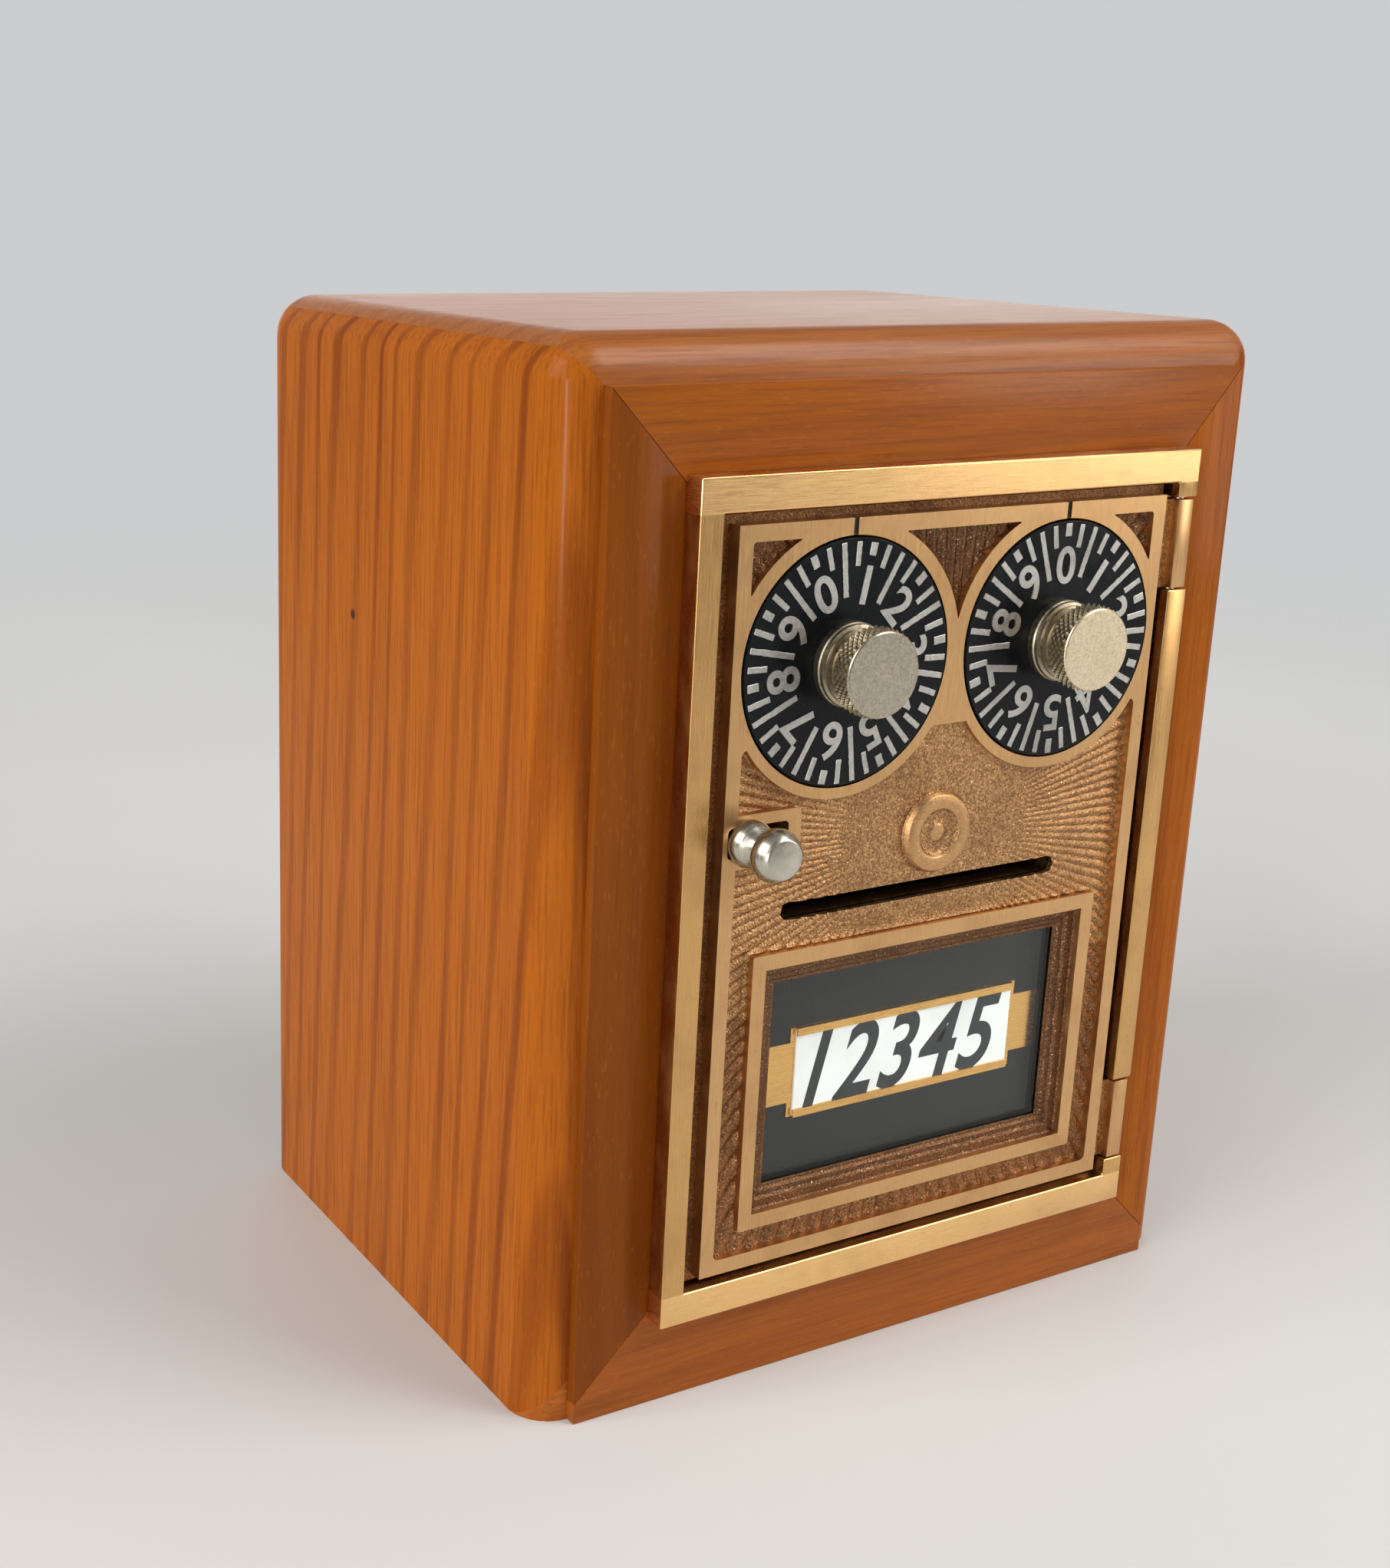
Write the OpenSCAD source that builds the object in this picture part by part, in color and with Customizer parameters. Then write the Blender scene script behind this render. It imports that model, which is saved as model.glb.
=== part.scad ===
// Wooden desk box with a cast door in front: two dials, a sliding latch,
// a coin slot and a small window with a number card.
// Millimetres. Front looks towards -Y, the table is at z = 0.

/* [Wooden case] */
// Width of the wood on either side of the cast frame
side_margin = 11.2; // [8:0.1:30]
// Height of the wood above the cast frame
top_margin = 11.45; // [8:0.05:30]
// Depth of the case boards, front to back
case_d = 93.7; // [80:0.1:140]
// Thickness of the case boards
board_t = 12; // [10:0.5:16]
// Radius of the rounded outer edges
edge_r = 6.35; // [3:0.05:8]
// How far the face frame stands out of the case boards
face_step = 1.8; // [0.5:0.1:3]
// Thickness of the face frame pieces
face_t = 12; // [8:0.5:16]
// Thickness of the back panel
back_t = 5; // [3:0.5:8]
// Width of the shoulder that the back panel sits on
back_ledge = 4; // [3:0.5:6]

/* [Cast frame] */
// Width of the flange beside the dials
dial_margin = 8; // [7:0.1:12]
// Height of the cast frame's flange
frame_h = 121.7; // [108:0.1:140]
// Thickness of the flange in front of the wood
flange_t = 3.5; // [2.5:0.1:5]
// Width of the flange's side bars
bar_side = 3.8; // [3.4:0.1:5]
// Width of the flange's top and bottom bars
bar_end = 4.85; // [4:0.05:6]
// Height of the flange's lower edge over the table
frame_z = 13.9; // [12:0.1:18]
// Sideways offset of the door from the middle of the case
door_x = 0.7; // [-2:0.1:2]
// Wall thickness of the sleeve behind the flange
sleeve_wall = 2; // [1.5:0.1:3]
// Gap between the sleeve and the wood around it
sleeve_gap = 0.35; // [0.2:0.05:0.6]

/* [Door leaf] */
// Gap between the leaf and the opening of the frame
leaf_gap = 0.4; // [0.3:0.05:0.6]
// Gap between the leaf and the frame on the hinge side
hinge_gap = 0.9; // [0.8:0.05:1.4]
// Width of the groove around the raised border
groove_w = 2.05; // [1:0.05:3]
// Depth of that groove
groove_d = 2.2; // [1.5:0.1:2.6]
// Whole thickness of the leaf
leaf_t = 5.6; // [5.2:0.1:7]
// Width of the leaf's raised border
border_w = 2.3; // [1.5:0.1:3]
// Depth of the cast field below the raised border
field_d = 1.2; // [0.6:0.1:1.6]

/* [Dials] */
// Radius of each dial
dial_r = 17.3; // [15:0.1:17.6]
// Distance from the frame's upper edge down to the dial axes
dial_down = 26.45; // [26:0.05:32]
// Thickness of a dial
dial_t = 1.5; // [1:0.1:1.6]
// Width of the raised ring around each dial
ring_w = 1.85; // [1.2:0.05:2.4]
// Radius of the knurled part of the knobs
knob_r = 6.1; // [5:0.1:8]
// How far the knobs stand out of the frame
knob_out = 7.8; // [6:0.1:8.4]
// Radius of the spindles
spindle_r = 2.5; // [2:0.1:3.5]
// Radius of the gate wheels inside the lock
wheel_r = 9.5; // [7:0.1:11]

/* [Latch] */
// Distance from the dial axes down to the latch
latch_down = 23.45; // [22:0.05:28]
// Distance of the latch knob from the frame's edge
latch_in = 10.25; // [9.8:0.05:12]
// How far the latch knob stands out of the frame
latch_out = 8.7; // [7:0.1:12]
// Radius of the latch knob's head
latch_r = 3.7; // [3:0.1:5]
// Radius of the latch knob's shank
shank_r = 1.6; // [1.2:0.1:2]
// Travel of the latch towards its open end
latch_travel = 5.2; // [3:0.1:6]
// Travel of the latch towards its locked end
latch_throw = 1.5; // [1:0.1:1.6]

/* [Coin slot and window] */
// Length of the coin slot
slot_len = 50.6; // [30:0.1:56]
// Height of the coin slot
slot_h = 2.6; // [2:0.1:4]
// Distance from the dial axes down to the coin slot
slot_down = 35.15; // [34:0.05:38]
// Width of the door beside the window's raised border
window_margin = 12.55; // [11:0.05:18]
// Height of the door below the window's raised border
window_foot = 12.4; // [11:0.1:16]
// Distance from the coin slot down to the window's raised border
window_drop = 5.5; // [3:0.1:10]
// Width of the window's raised band
band_w = 2.3; // [1.5:0.1:3]
// Thickness of the glass
glass_t = 1.2; // [0.8:0.1:1.6]
// Width of the number card
card_w = 41; // [30:0.5:44]
// Height of the number card
card_h = 13.4; // [10:0.1:16]

/* [Part] */
// Piece to draw

/* [Hidden] */
$fn = 64;

wood_color = [0.72, 0.38, 0.14];
brass_color = [0.78, 0.62, 0.36];
dark_color = [0.09, 0.10, 0.11];
steel_color = [0.66, 0.66, 0.64];
card_color = [0.93, 0.93, 0.91];
glass_color = [0.80, 0.86, 0.86, 0.35];

eps = 0.01;
over = 1;
fit_gap = 0.05;
seat_gap = 0.02;
free_gap = 0.3;

// Depth along Y, counted from the front of the flange
face_y = flange_t;
case_y = face_y + face_step;
case_back = case_y + case_d;
face_back = face_y + face_t;
mid_y = (case_back - max(latch_out, knob_out)) / 2;

// Cast frame
frame_w = 4 * dial_r + 2 * ring_w + 2 * dial_margin;
frame_top = frame_z + frame_h;

// Case and face frame
face_w = frame_w + 2 * side_margin;
face_h = frame_top + top_margin;
case_w = face_w + 2 * edge_r;
case_h = face_h + edge_r;

// Opening of the cast frame, its sleeve and the wood around it
open_w = frame_w - 2 * bar_side;
open_lo = frame_z + bar_end;
open_hi = frame_top - bar_end;
sleeve_w = open_w + 2 * sleeve_wall;
sleeve_lo = open_lo - sleeve_wall;
sleeve_hi = open_hi + sleeve_wall;
wood_w = sleeve_w + 2 * sleeve_gap;
wood_lo = sleeve_lo - sleeve_gap;
wood_hi = sleeve_hi + sleeve_gap;

// Leaf
leaf_w = open_w - 2 * leaf_gap;
leaf_lo = open_lo + leaf_gap;
leaf_hi = open_hi - leaf_gap;
border_half = leaf_w / 2 - groove_w;
border_lo = leaf_lo + groove_w - leaf_gap;
border_hi = leaf_hi - groove_w + leaf_gap;
stop_w = 1.4;
stop_t = 1.5;
stop_y = leaf_t + free_gap;

// Hinge
pin_r = 0.8;
axis_x = frame_w / 2 - bar_side / 2 - 0.1;
axis_y = 1.7;
knuckle_half = 1.45;
knuckle_len = 13.25;
knuckle_lo = frame_z + 7.9;
knuckle_hi = frame_top - 7.4 - knuckle_len;
pin_lo = knuckle_lo - 5;
pin_len = frame_top - pin_lo - 0.4;
knuckle_gap = 0.3;

// Dials
dial_z = frame_top - dial_down;
dial_x = dial_r + ring_w;
dial_front = -0.15;
seat_r = dial_r + free_gap;
ring_r = dial_r + ring_w;
seat_y = dial_front + dial_t + free_gap;
boss_r = 5.5;
boss_h = 1.7;
wheel_y = leaf_t + boss_h + 0.4;
wheel_t = 2;
nut_t = 2.4;
nut_r = 4.2;
spindle_back = wheel_y + wheel_t + nut_t + 0.8;
spindle_front = knob_out - 1.8;
tick_count = 40;
tick_h = 0.15;

// Latch
latch_z = dial_z - latch_down;
latch_x = frame_w / 2 - latch_in;
slide_y = leaf_t + 0.7;
bolt_t = 1.6;
bolt_h = 7.4;
bolt_tip = leaf_w / 2;
cut_h = 4.4;
pad_w = 11;
pad_h = 7.7;

// Middle boss, coin slot and window
medal_down = 26.85;
medal_z = dial_z - medal_down;
medal_r = 5.75;
medal_in = 3.6;
medal_dot = 1.35;
slot_z = dial_z - slot_down;
slot_x = -1.6;
window_w = frame_w - 2 * window_margin;
window_lo = frame_z + window_foot;
window_h = slot_z - window_drop - window_lo;
win_z = window_lo + window_h / 2;
reveal_w = window_w - 2 * band_w;
reveal_h = window_h - 2 * band_w;
sill = 1.6;
sight_w = reveal_w - 4 * sill;
sight_h = reveal_h - 4 * sill;
rebate = 1.6;
glass_y = 2.6;
plate_t = 0.8;
plate_y = leaf_t - plate_t;
pane_w = sight_w + 2 * rebate - 2 * free_gap;
pane_h = sight_h + 2 * rebate - 2 * free_gap;
holder_t = 0.3;
card_t = 0.3;
card_y = plate_y - holder_t - card_t;
rail_h = 1.9;
rail_lip = 0.7;
strap_h = 9.4;

// Lock case
lock_w = leaf_w - 6.2;
lock_lo = slot_z + slot_h / 2 + 4.2;
lock_hi = border_hi - 1.4;
lock_wall = 1.2;
lock_t = spindle_back - leaf_t + 1.4 + lock_wall;
lock_back = leaf_t + lock_t;
post_r = 2.4;
post_in = lock_wall + post_r + free_gap;

// Screws
screw_r = 1.35;
screw_head_r = 2.7;
screw_head_t = 1.5;
screw_up = 28;
screw_down = 24;
back_screw_in = 16;
small_r = 0.9;
small_head_r = 1.9;
small_head_t = 1.0;

// Box with rounded corners in its plan, standing on z = 0
module round_rect(w, h, r) {
    union() {
        square([w - 2 * r, h], center = true);
        square([w, h - 2 * r], center = true);
        for (sx = [-1, 1], sy = [-1, 1])
            translate([sx * (w / 2 - r), sy * (h / 2 - r)]) circle(r = r);
    }
}

// Profile with a flat foot and two rounded upper corners
module arch_rect(w, h, r) {
    union() {
        translate([-w / 2, 0]) square([w, h - r]);
        translate([-w / 2 + r, 0]) square([w - 2 * r, h]);
        for (sx = [-1, 1])
            translate([sx * (w / 2 - r), h - r]) circle(r = r);
    }
}

// Slab between two heights along Y from a profile drawn in X and Z
module slab(y0, y1) {
    translate([0, y1, 0]) rotate([90, 0, 0]) linear_extrude(height = y1 - y0) children();
}

// Box from its low and high corners
module span(lo, hi) {
    translate(lo) cube([hi[0] - lo[0], hi[1] - lo[1], hi[2] - lo[2]]);
}

// Cylinder along Y
module rod_y(r, y0, y1) {
    translate([0, y1, 0]) rotate([90, 0, 0]) cylinder(r = r, h = y1 - y0);
}

// Countersunk screw along +Z, its head's face at z = 0 and its tip below
module sunk_screw(len) {
    union() {
        translate([0, 0, -screw_head_t]) cylinder(r1 = screw_r, r2 = screw_head_r, h = screw_head_t);
        translate([0, 0, -len]) cylinder(r = screw_r, h = len - screw_head_t + eps);
    }
}

// Hole for that screw, a little wider all round
module sunk_hole(len) {
    union() {
        translate([0, 0, -screw_head_t - seat_gap])
            cylinder(r1 = screw_r + seat_gap, r2 = screw_head_r + 2 * seat_gap,
                     h = screw_head_t + 2 * seat_gap);
        translate([0, 0, -len - seat_gap])
            cylinder(r = screw_r + seat_gap, h = len + seat_gap - screw_head_t);
    }
}

// Small screw along +Y, its head outside y = 0 and its shank before it
module head_screw(len) {
    difference() {
        union() {
            rod_y(small_head_r, 0, small_head_t);
            rod_y(small_r, -len, eps);
        }
        span([-small_head_r - over, small_head_t - 0.5, -0.25],
             [small_head_r + over, small_head_t + over, 0.25]);
    }
}

// Places things drawn from the flange's front on the finished part
module on_case() {
    translate([0, -mid_y, 0]) children();
}

// The same for things drawn from the middle of the door
module on_door() {
    translate([door_x, -mid_y, 0]) children();
}

// Case boards
module case_block() {
    intersection() {
        slab(case_y, case_back) arch_rect(case_w, case_h, edge_r);
        translate([0, (case_y + case_back) / 2, 0]) linear_extrude(height = case_h)
            round_rect(case_w, case_d, edge_r);
        translate([-case_w / 2, (case_y + case_back) / 2, 0]) rotate([90, 0, 90])
            linear_extrude(height = case_w) arch_rect(case_d, case_h, edge_r);
    }
}

module case_shell() {
    difference() {
        case_block();
        span([-case_w / 2 + board_t, case_y - over, board_t],
            [case_w / 2 - board_t, case_back + over, case_h - board_t]);
        span([-face_w / 2, case_y - over, -over], [face_w / 2, face_back, face_h]);
        span([-case_w / 2 + board_t - back_ledge, case_back - back_t, board_t - back_ledge],
            [case_w / 2 - board_t + back_ledge, case_back + over, case_h - board_t + back_ledge]);
        back_places() sunk_hole(back_t + 6);
    }
}

// One board between the two miters at the ends of a side
module board_wedge(side) {
    w = case_w / 2;
    t = board_t;
    slab(case_y - over, case_back + over) polygon(
        side == 0 ? [[-w, 0], [-w, case_h], [-w + t, case_h - t], [-w + t, t]] :
        side == 1 ? [[w, 0], [w, case_h], [w - t, case_h - t], [w - t, t]] :
        side == 2 ? [[-w, case_h], [w, case_h], [w - t, case_h - t], [-w + t, case_h - t]] :
        [[-w, 0], [w, 0], [w - t, t], [-w + t, t]]);
}

module case_board(side) {
    color(wood_color) on_case() intersection() {
        case_shell();
        board_wedge(side);
    }
}

module left_side() { case_board(0); }
module right_side() { case_board(1); }
module top_board() { case_board(2); }
module bottom_board() { case_board(3); }

// Back panel and its four screws
module back_spot(i) {
    x = case_w / 2 - board_t + back_ledge / 2;
    z_lo = board_t + back_screw_in;
    z_hi = case_h - board_t - back_screw_in;
    translate([(i < 2 ? -1 : 1) * x, case_back, i % 2 == 0 ? z_lo : z_hi]) rotate([-90, 0, 0]) children();
}

module back_places() {
    for (i = [0 : 3]) back_spot(i) children();
}

module back_panel() {
    reach = board_t - back_ledge + seat_gap;
    color(wood_color) on_case() difference() {
        span([-case_w / 2 + reach, case_back - back_t, reach],
            [case_w / 2 - reach, case_back, case_h - reach]);
        back_places() sunk_hole(back_t + 6);
    }
}

module back_screw(i) {
    color(brass_color) on_case() back_spot(i) sunk_screw(back_t + 5);
}

module back_screw_1() { back_screw(0); }
module back_screw_2() { back_screw(1); }
module back_screw_3() { back_screw(2); }
module back_screw_4() { back_screw(3); }

// Face frame, four mitered pieces around the cast frame's sleeve
module face_piece(points) {
    color(wood_color) on_case() difference() {
        slab(face_y, face_back) polygon(points);
        translate([door_x, 0, 0]) frame_places() sunk_hole(sleeve_wall + 7);
    }
}

face_l = door_x - wood_w / 2;
face_r = door_x + wood_w / 2;
foot_min = 1;
foot_l = max(wood_lo - (face_l + face_w / 2), foot_min);
foot_r = max(wood_lo - (face_w / 2 - face_r), foot_min);

module face_left() {
    face_piece([[-face_w / 2, foot_l], [-face_w / 2, face_h], [face_l, wood_hi], [face_l, wood_lo]]);
}
module face_right() {
    face_piece([[face_w / 2, foot_r], [face_w / 2, face_h], [face_r, wood_hi], [face_r, wood_lo]]);
}
module face_top() {
    face_piece([[-face_w / 2, face_h], [face_w / 2, face_h], [face_r, wood_hi], [face_l, wood_hi]]);
}
module face_bottom() {
    face_piece([[-face_w / 2, 0], [face_w / 2, 0], [face_w / 2, foot_r], [face_r, wood_lo],
        [face_l, wood_lo], [-face_w / 2, foot_l]]);
}

// Cast frame with its sleeve, stop ledge, strike and hinge pockets
module frame_spot(i) {
    z_lo = sleeve_lo + screw_up;
    z_hi = sleeve_hi - screw_down;
    side = i < 2 ? -1 : 1;
    translate([side * open_w / 2, (face_y + face_back) / 2 + 1.4, i % 2 == 0 ? z_lo : z_hi])
        rotate([0, -side * 90, 0]) children();
}

module frame_places() {
    for (i = [0 : 3]) frame_spot(i) children();
}

module door_frame() {
    color(brass_color) on_door() difference() {
        union() {
            span([-frame_w / 2, 0, frame_z], [frame_w / 2, flange_t, frame_z + frame_h]);
            span([-sleeve_w / 2, flange_t - eps, sleeve_lo], [sleeve_w / 2, face_back, sleeve_hi]);
        }
        span([-open_w / 2, -over, open_lo], [open_w / 2, stop_y, open_hi]);
        span([-open_w / 2 + stop_w, stop_y - over, open_lo + stop_w],
            [open_w / 2, stop_y + stop_t + over, open_hi - stop_w]);
        span([-open_w / 2, stop_y + stop_t, open_lo], [open_w / 2, face_back + over, open_hi]);
        span([-sleeve_w / 2 - over, slide_y - 0.4, latch_z - bolt_h / 2 - 0.5],
            [-open_w / 2 + stop_w + over, slide_y + bolt_t + 0.5, latch_z + bolt_h / 2 + 0.5]);
        for (z = [knuckle_lo, knuckle_hi])
            span([open_w / 2 - over, -over, z - knuckle_gap],
                [frame_w / 2 + over, flange_t, z + knuckle_len + knuckle_gap]);
        translate([axis_x, axis_y, pin_lo]) cylinder(r = pin_r + seat_gap, h = frame_h);
        frame_places() sunk_hole(sleeve_wall + 7);
    }
}

module hinge_pin() {
    color(steel_color) on_door() translate([axis_x, axis_y, pin_lo]) cylinder(r = pin_r, h = pin_len);
}

module frame_screw(i) {
    color(brass_color) on_door() frame_spot(i) sunk_screw(sleeve_wall + 6);
}

module frame_screw_1() { frame_screw(0); }
module frame_screw_2() { frame_screw(1); }
module frame_screw_3() { frame_screw(2); }
module frame_screw_4() { frame_screw(3); }

// Door leaf
module dial_spots() {
    for (s = [-1, 1]) translate([s * dial_x, 0, dial_z]) children();
}

module field_shape() {
    inner = border_half - border_w;
    difference() {
        translate([-inner, border_lo + border_w])
            square([2 * inner, dial_z - 10.5 - border_lo - border_w]);
        for (s = [-1, 1]) translate([s * dial_x, dial_z]) circle(r = ring_r);
        translate([-window_w / 2, win_z - window_h / 2]) square([window_w, window_h]);
        translate([0, medal_z]) circle(r = medal_r);
        translate([-inner - over, latch_z - pad_h / 2]) square([pad_w + over, pad_h]);
    }
}

module pocket_shape() {
    top = border_hi - border_w;
    inner = border_half - border_w;
    difference() {
        union() {
            translate([-10.5, dial_z]) square([21, top - dial_z]);
            for (s = [-1, 1]) translate([s * (inner - 3.7) - 3.7, top - 7.2]) square([7.4, 7.2]);
        }
        for (s = [-1, 1]) translate([s * dial_x, dial_z]) circle(r = ring_r + 0.5);
    }
}

module knuckle(z) {
    translate([axis_x, axis_y, z]) union() {
        cylinder(r = knuckle_half + 0.1, h = knuckle_len);
        span([-knuckle_half, -axis_y, 0], [knuckle_half - 0.4, 0, knuckle_len]);
        span([0, -axis_y + 0.4, 0], [knuckle_half, 0, knuckle_len]);
        span([border_half - axis_x, -0.3, 0], [0, knuckle_half, knuckle_len]);
    }
}

module post_spot(i) {
    x = lock_w / 2 - post_in;
    translate(i == 0 ? [-x, 0, lock_hi - post_in] : i == 1 ? [x, 0, lock_hi - post_in] :
        i == 2 ? [x, 0, lock_lo + 4.4] : [-6, 0, lock_lo + 4.4]) children();
}

module plate_spot(i) {
    translate([(i < 2 ? -1 : 1) * (pane_w / 2 - 0.2), leaf_t,
        win_z + (i % 2 == 0 ? -1 : 1) * (pane_h / 2 - 5)]) children();
}

module plate_hole_x() {
    for (i = [0 : 3]) plate_spot(i) translate([(i < 2 ? -1 : 1) * 1.6, 0, 0]) children();
}

module door_leaf() {
    color(brass_color) on_door() difference() {
        union() {
            span([-leaf_w / 2, groove_d, leaf_lo], [open_w / 2 - hinge_gap, leaf_t, leaf_hi]);
            span([-border_half, 0, border_lo], [border_half, groove_d + eps, border_hi]);
            for (z = [knuckle_lo, knuckle_hi]) knuckle(z);
            dial_spots() rod_y(boss_r, leaf_t - eps, leaf_t + boss_h);
            for (i = [0 : 3]) post_spot(i) rod_y(post_r, leaf_t - eps, lock_back - lock_wall);
        }
        slab(-over, field_d) field_shape();
        slab(-over, field_d) pocket_shape();
        dial_spots() rod_y(seat_r, -over, seat_y);
        dial_spots() rod_y(spindle_r + fit_gap, 0, leaf_t + boss_h + over);
        translate([0, 0, medal_z]) difference() {
            rod_y(medal_in, -over, field_d / 2);
            rod_y(medal_dot, -over, field_d);
        }
        span([-latch_x - latch_throw - shank_r - 0.1, -over, latch_z - cut_h / 2],
            [-latch_x + latch_travel + shank_r + 0.1, leaf_t + over, latch_z + cut_h / 2]);
        translate([slot_x, 0, slot_z])
            slab(-over, leaf_t + over) round_rect(slot_len, slot_h, slot_h / 2 - eps);
        span([-reveal_w / 2, -over, win_z - reveal_h / 2], [reveal_w / 2, field_d, win_z + reveal_h / 2]);
        span([-reveal_w / 2 + sill, 0, win_z - reveal_h / 2 + sill],
            [reveal_w / 2 - sill, field_d + 0.7, win_z + reveal_h / 2 - sill]);
        span([-sight_w / 2, 0, win_z - sight_h / 2], [sight_w / 2, leaf_t + over, win_z + sight_h / 2]);
        span([-sight_w / 2 - rebate, glass_y - seat_gap, win_z - sight_h / 2 - rebate],
            [sight_w / 2 + rebate, leaf_t + over, win_z + sight_h / 2 + rebate]);
        for (z = [knuckle_lo, knuckle_hi]) translate([axis_x, axis_y, z - over])
            cylinder(r = pin_r + fit_gap, h = knuckle_len + 2 * over);
        for (i = [0 : 3]) post_spot(i)
            rod_y(small_r + seat_gap, lock_back - lock_wall - 6, lock_back + over);
        plate_hole_x() rod_y(small_r + seat_gap, -2.2, over);
    }
}

// Window pieces
module window_glass() {
    color(glass_color) on_door() span([-pane_w / 2, glass_y, win_z - pane_h / 2],
        [pane_w / 2, glass_y + glass_t, win_z + pane_h / 2]);
}

module glass_spacer() {
    color(dark_color) on_door() difference() {
        span([-pane_w / 2, glass_y + glass_t, win_z - pane_h / 2],
            [pane_w / 2, plate_y, win_z + pane_h / 2]);
        span([-pane_w / 2 + rebate, glass_y, win_z - pane_h / 2 + rebate],
            [pane_w / 2 - rebate, plate_y + over, win_z + pane_h / 2 - rebate]);
    }
}

module backing_plate() {
    color(dark_color) on_door() span([-pane_w / 2, plate_y, win_z - pane_h / 2],
        [pane_w / 2, leaf_t, win_z + pane_h / 2]);
}

module card_holder() {
    lip_y = card_y - rail_lip;
    color(brass_color) on_door() translate([0, 0, win_z]) union() {
        span([-pane_w / 2 + rebate, plate_y - holder_t, -strap_h / 2],
            [pane_w / 2 - rebate, plate_y, strap_h / 2]);
        span([-card_w / 2 - 0.8, plate_y - holder_t, -card_h / 2 - holder_t],
            [card_w / 2 + 0.8, plate_y, card_h / 2 + holder_t]);
        for (s = [-1, 1]) {
            span([-card_w / 2, card_y - holder_t, s * card_h / 2 + (s < 0 ? -holder_t : 0)],
                [card_w / 2, plate_y, s * card_h / 2 + (s < 0 ? 0 : holder_t)]);
            span([-card_w / 2, card_y - holder_t, s > 0 ? card_h / 2 - 0.9 : -card_h / 2 - holder_t],
                [card_w / 2, card_y, s > 0 ? card_h / 2 + holder_t : -card_h / 2 + 0.9]);
        }
    }
}

module number_card() {
    color(card_color) on_door() span([-card_w / 2 + 0.1, card_y, win_z - card_h / 2 + seat_gap],
        [card_w / 2 - 0.1, card_y + card_t, win_z + card_h / 2 - seat_gap]);
}

module plate_screw(i) {
    color(brass_color) on_door() plate_spot(i) translate([(i < 2 ? -1 : 1) * 1.6, 0, 0]) head_screw(2);
}

module plate_screw_1() { plate_screw(0); }
module plate_screw_2() { plate_screw(1); }
module plate_screw_3() { plate_screw(2); }
module plate_screw_4() { plate_screw(3); }

// Lock case, an open tray screwed over the spindles and the bolt
module lock_case() {
    color(steel_color) on_door() difference() {
        span([-lock_w / 2, leaf_t, lock_lo], [lock_w / 2, lock_back, lock_hi]);
        span([-lock_w / 2 + lock_wall, leaf_t - over, lock_lo + lock_wall],
            [lock_w / 2 - lock_wall, lock_back - lock_wall, lock_hi - lock_wall]);
        span([-lock_w / 2 - over, leaf_t - over, latch_z - bolt_h / 2 - 0.3],
            [-lock_w / 2 + lock_wall + over, slide_y + bolt_t + 0.3, latch_z + bolt_h / 2 + 0.3]);
        for (i = [0 : 3]) post_spot(i) rod_y(small_r + seat_gap, leaf_t, lock_back + over);
    }
}

module lock_screw(i) {
    color(brass_color) on_door() post_spot(i) translate([0, lock_back, 0]) head_screw(6);
}

module lock_screw_1() { lock_screw(0); }
module lock_screw_2() { lock_screw(1); }
module lock_screw_3() { lock_screw(2); }
module lock_screw_4() { lock_screw(3); }

// Dial, knob, spindle, gate wheel and nut turn together
module on_dial(s) {
    on_door() translate([s * dial_x, 0, dial_z]) children();
}

module tick(len, wide) {
    span([-wide / 2, dial_front - tick_h, dial_r - 0.5 - len], [wide / 2, dial_front + eps, dial_r - 0.5]);
}

module dial(s, turn) {
    color(dark_color) on_dial(s) difference() {
        union() {
            rod_y(dial_r, dial_front, dial_front + dial_t);
            for (i = [0 : tick_count - 1]) rotate([0, i * 360 / tick_count + turn, 0])
                tick(i % 4 == 0 ? 7.4 : i % 4 == 2 ? 1.9 : 3.4, i % 4 == 2 ? 1.1 : 0.85);
        }
        rod_y(spindle_r + seat_gap, -over, dial_t + over);
    }
}

module knob(s) {
    neck = knob_out - 3.3;
    color(steel_color) on_dial(s) difference() {
        union() {
            rod_y(knob_r - 0.2, -2, dial_front);
            rod_y(knob_r - 0.7, -2.6, -2 + eps);
            rod_y(knob_r - 1.3, -neck - eps, -2.6 + eps);
            rod_y(knob_r, -knob_out + 0.3, -neck);
            rotate([90, 0, 0]) translate([0, 0, knob_out - 0.3 - eps])
                cylinder(r1 = knob_r, r2 = knob_r - 0.3, h = 0.3 + eps);
        }
        rod_y(spindle_r + seat_gap, -spindle_front - seat_gap, over);
    }
}

module spindle(s) {
    color(brass_color) on_dial(s) rod_y(spindle_r, -spindle_front, spindle_back);
}

module wheel(s) {
    color(brass_color) on_dial(s) difference() {
        rod_y(wheel_r, wheel_y, wheel_y + wheel_t);
        rod_y(spindle_r + seat_gap, wheel_y - over, wheel_y + wheel_t + over);
        span([-1.8, wheel_y - over, wheel_r - 3.5], [1.8, wheel_y + wheel_t + over, wheel_r + over]);
    }
}

module nut(s) {
    color(steel_color) on_dial(s) difference() {
        translate([0, wheel_y + wheel_t + nut_t, 0])
            rotate([90, 0, 0]) cylinder(r = nut_r, h = nut_t, $fn = 6);
        rod_y(spindle_r + seat_gap, wheel_y, wheel_y + wheel_t + nut_t + over);
    }
}

module left_dial() { dial(-1, -7); }
module left_knob() { knob(-1); }
module left_spindle() { spindle(-1); }
module left_wheel() { wheel(-1); }
module left_nut() { nut(-1); }
module right_dial() { dial(1, 18); }
module right_knob() { knob(1); }
module right_spindle() { spindle(1); }
module right_wheel() { wheel(1); }
module right_nut() { nut(1); }

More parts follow.
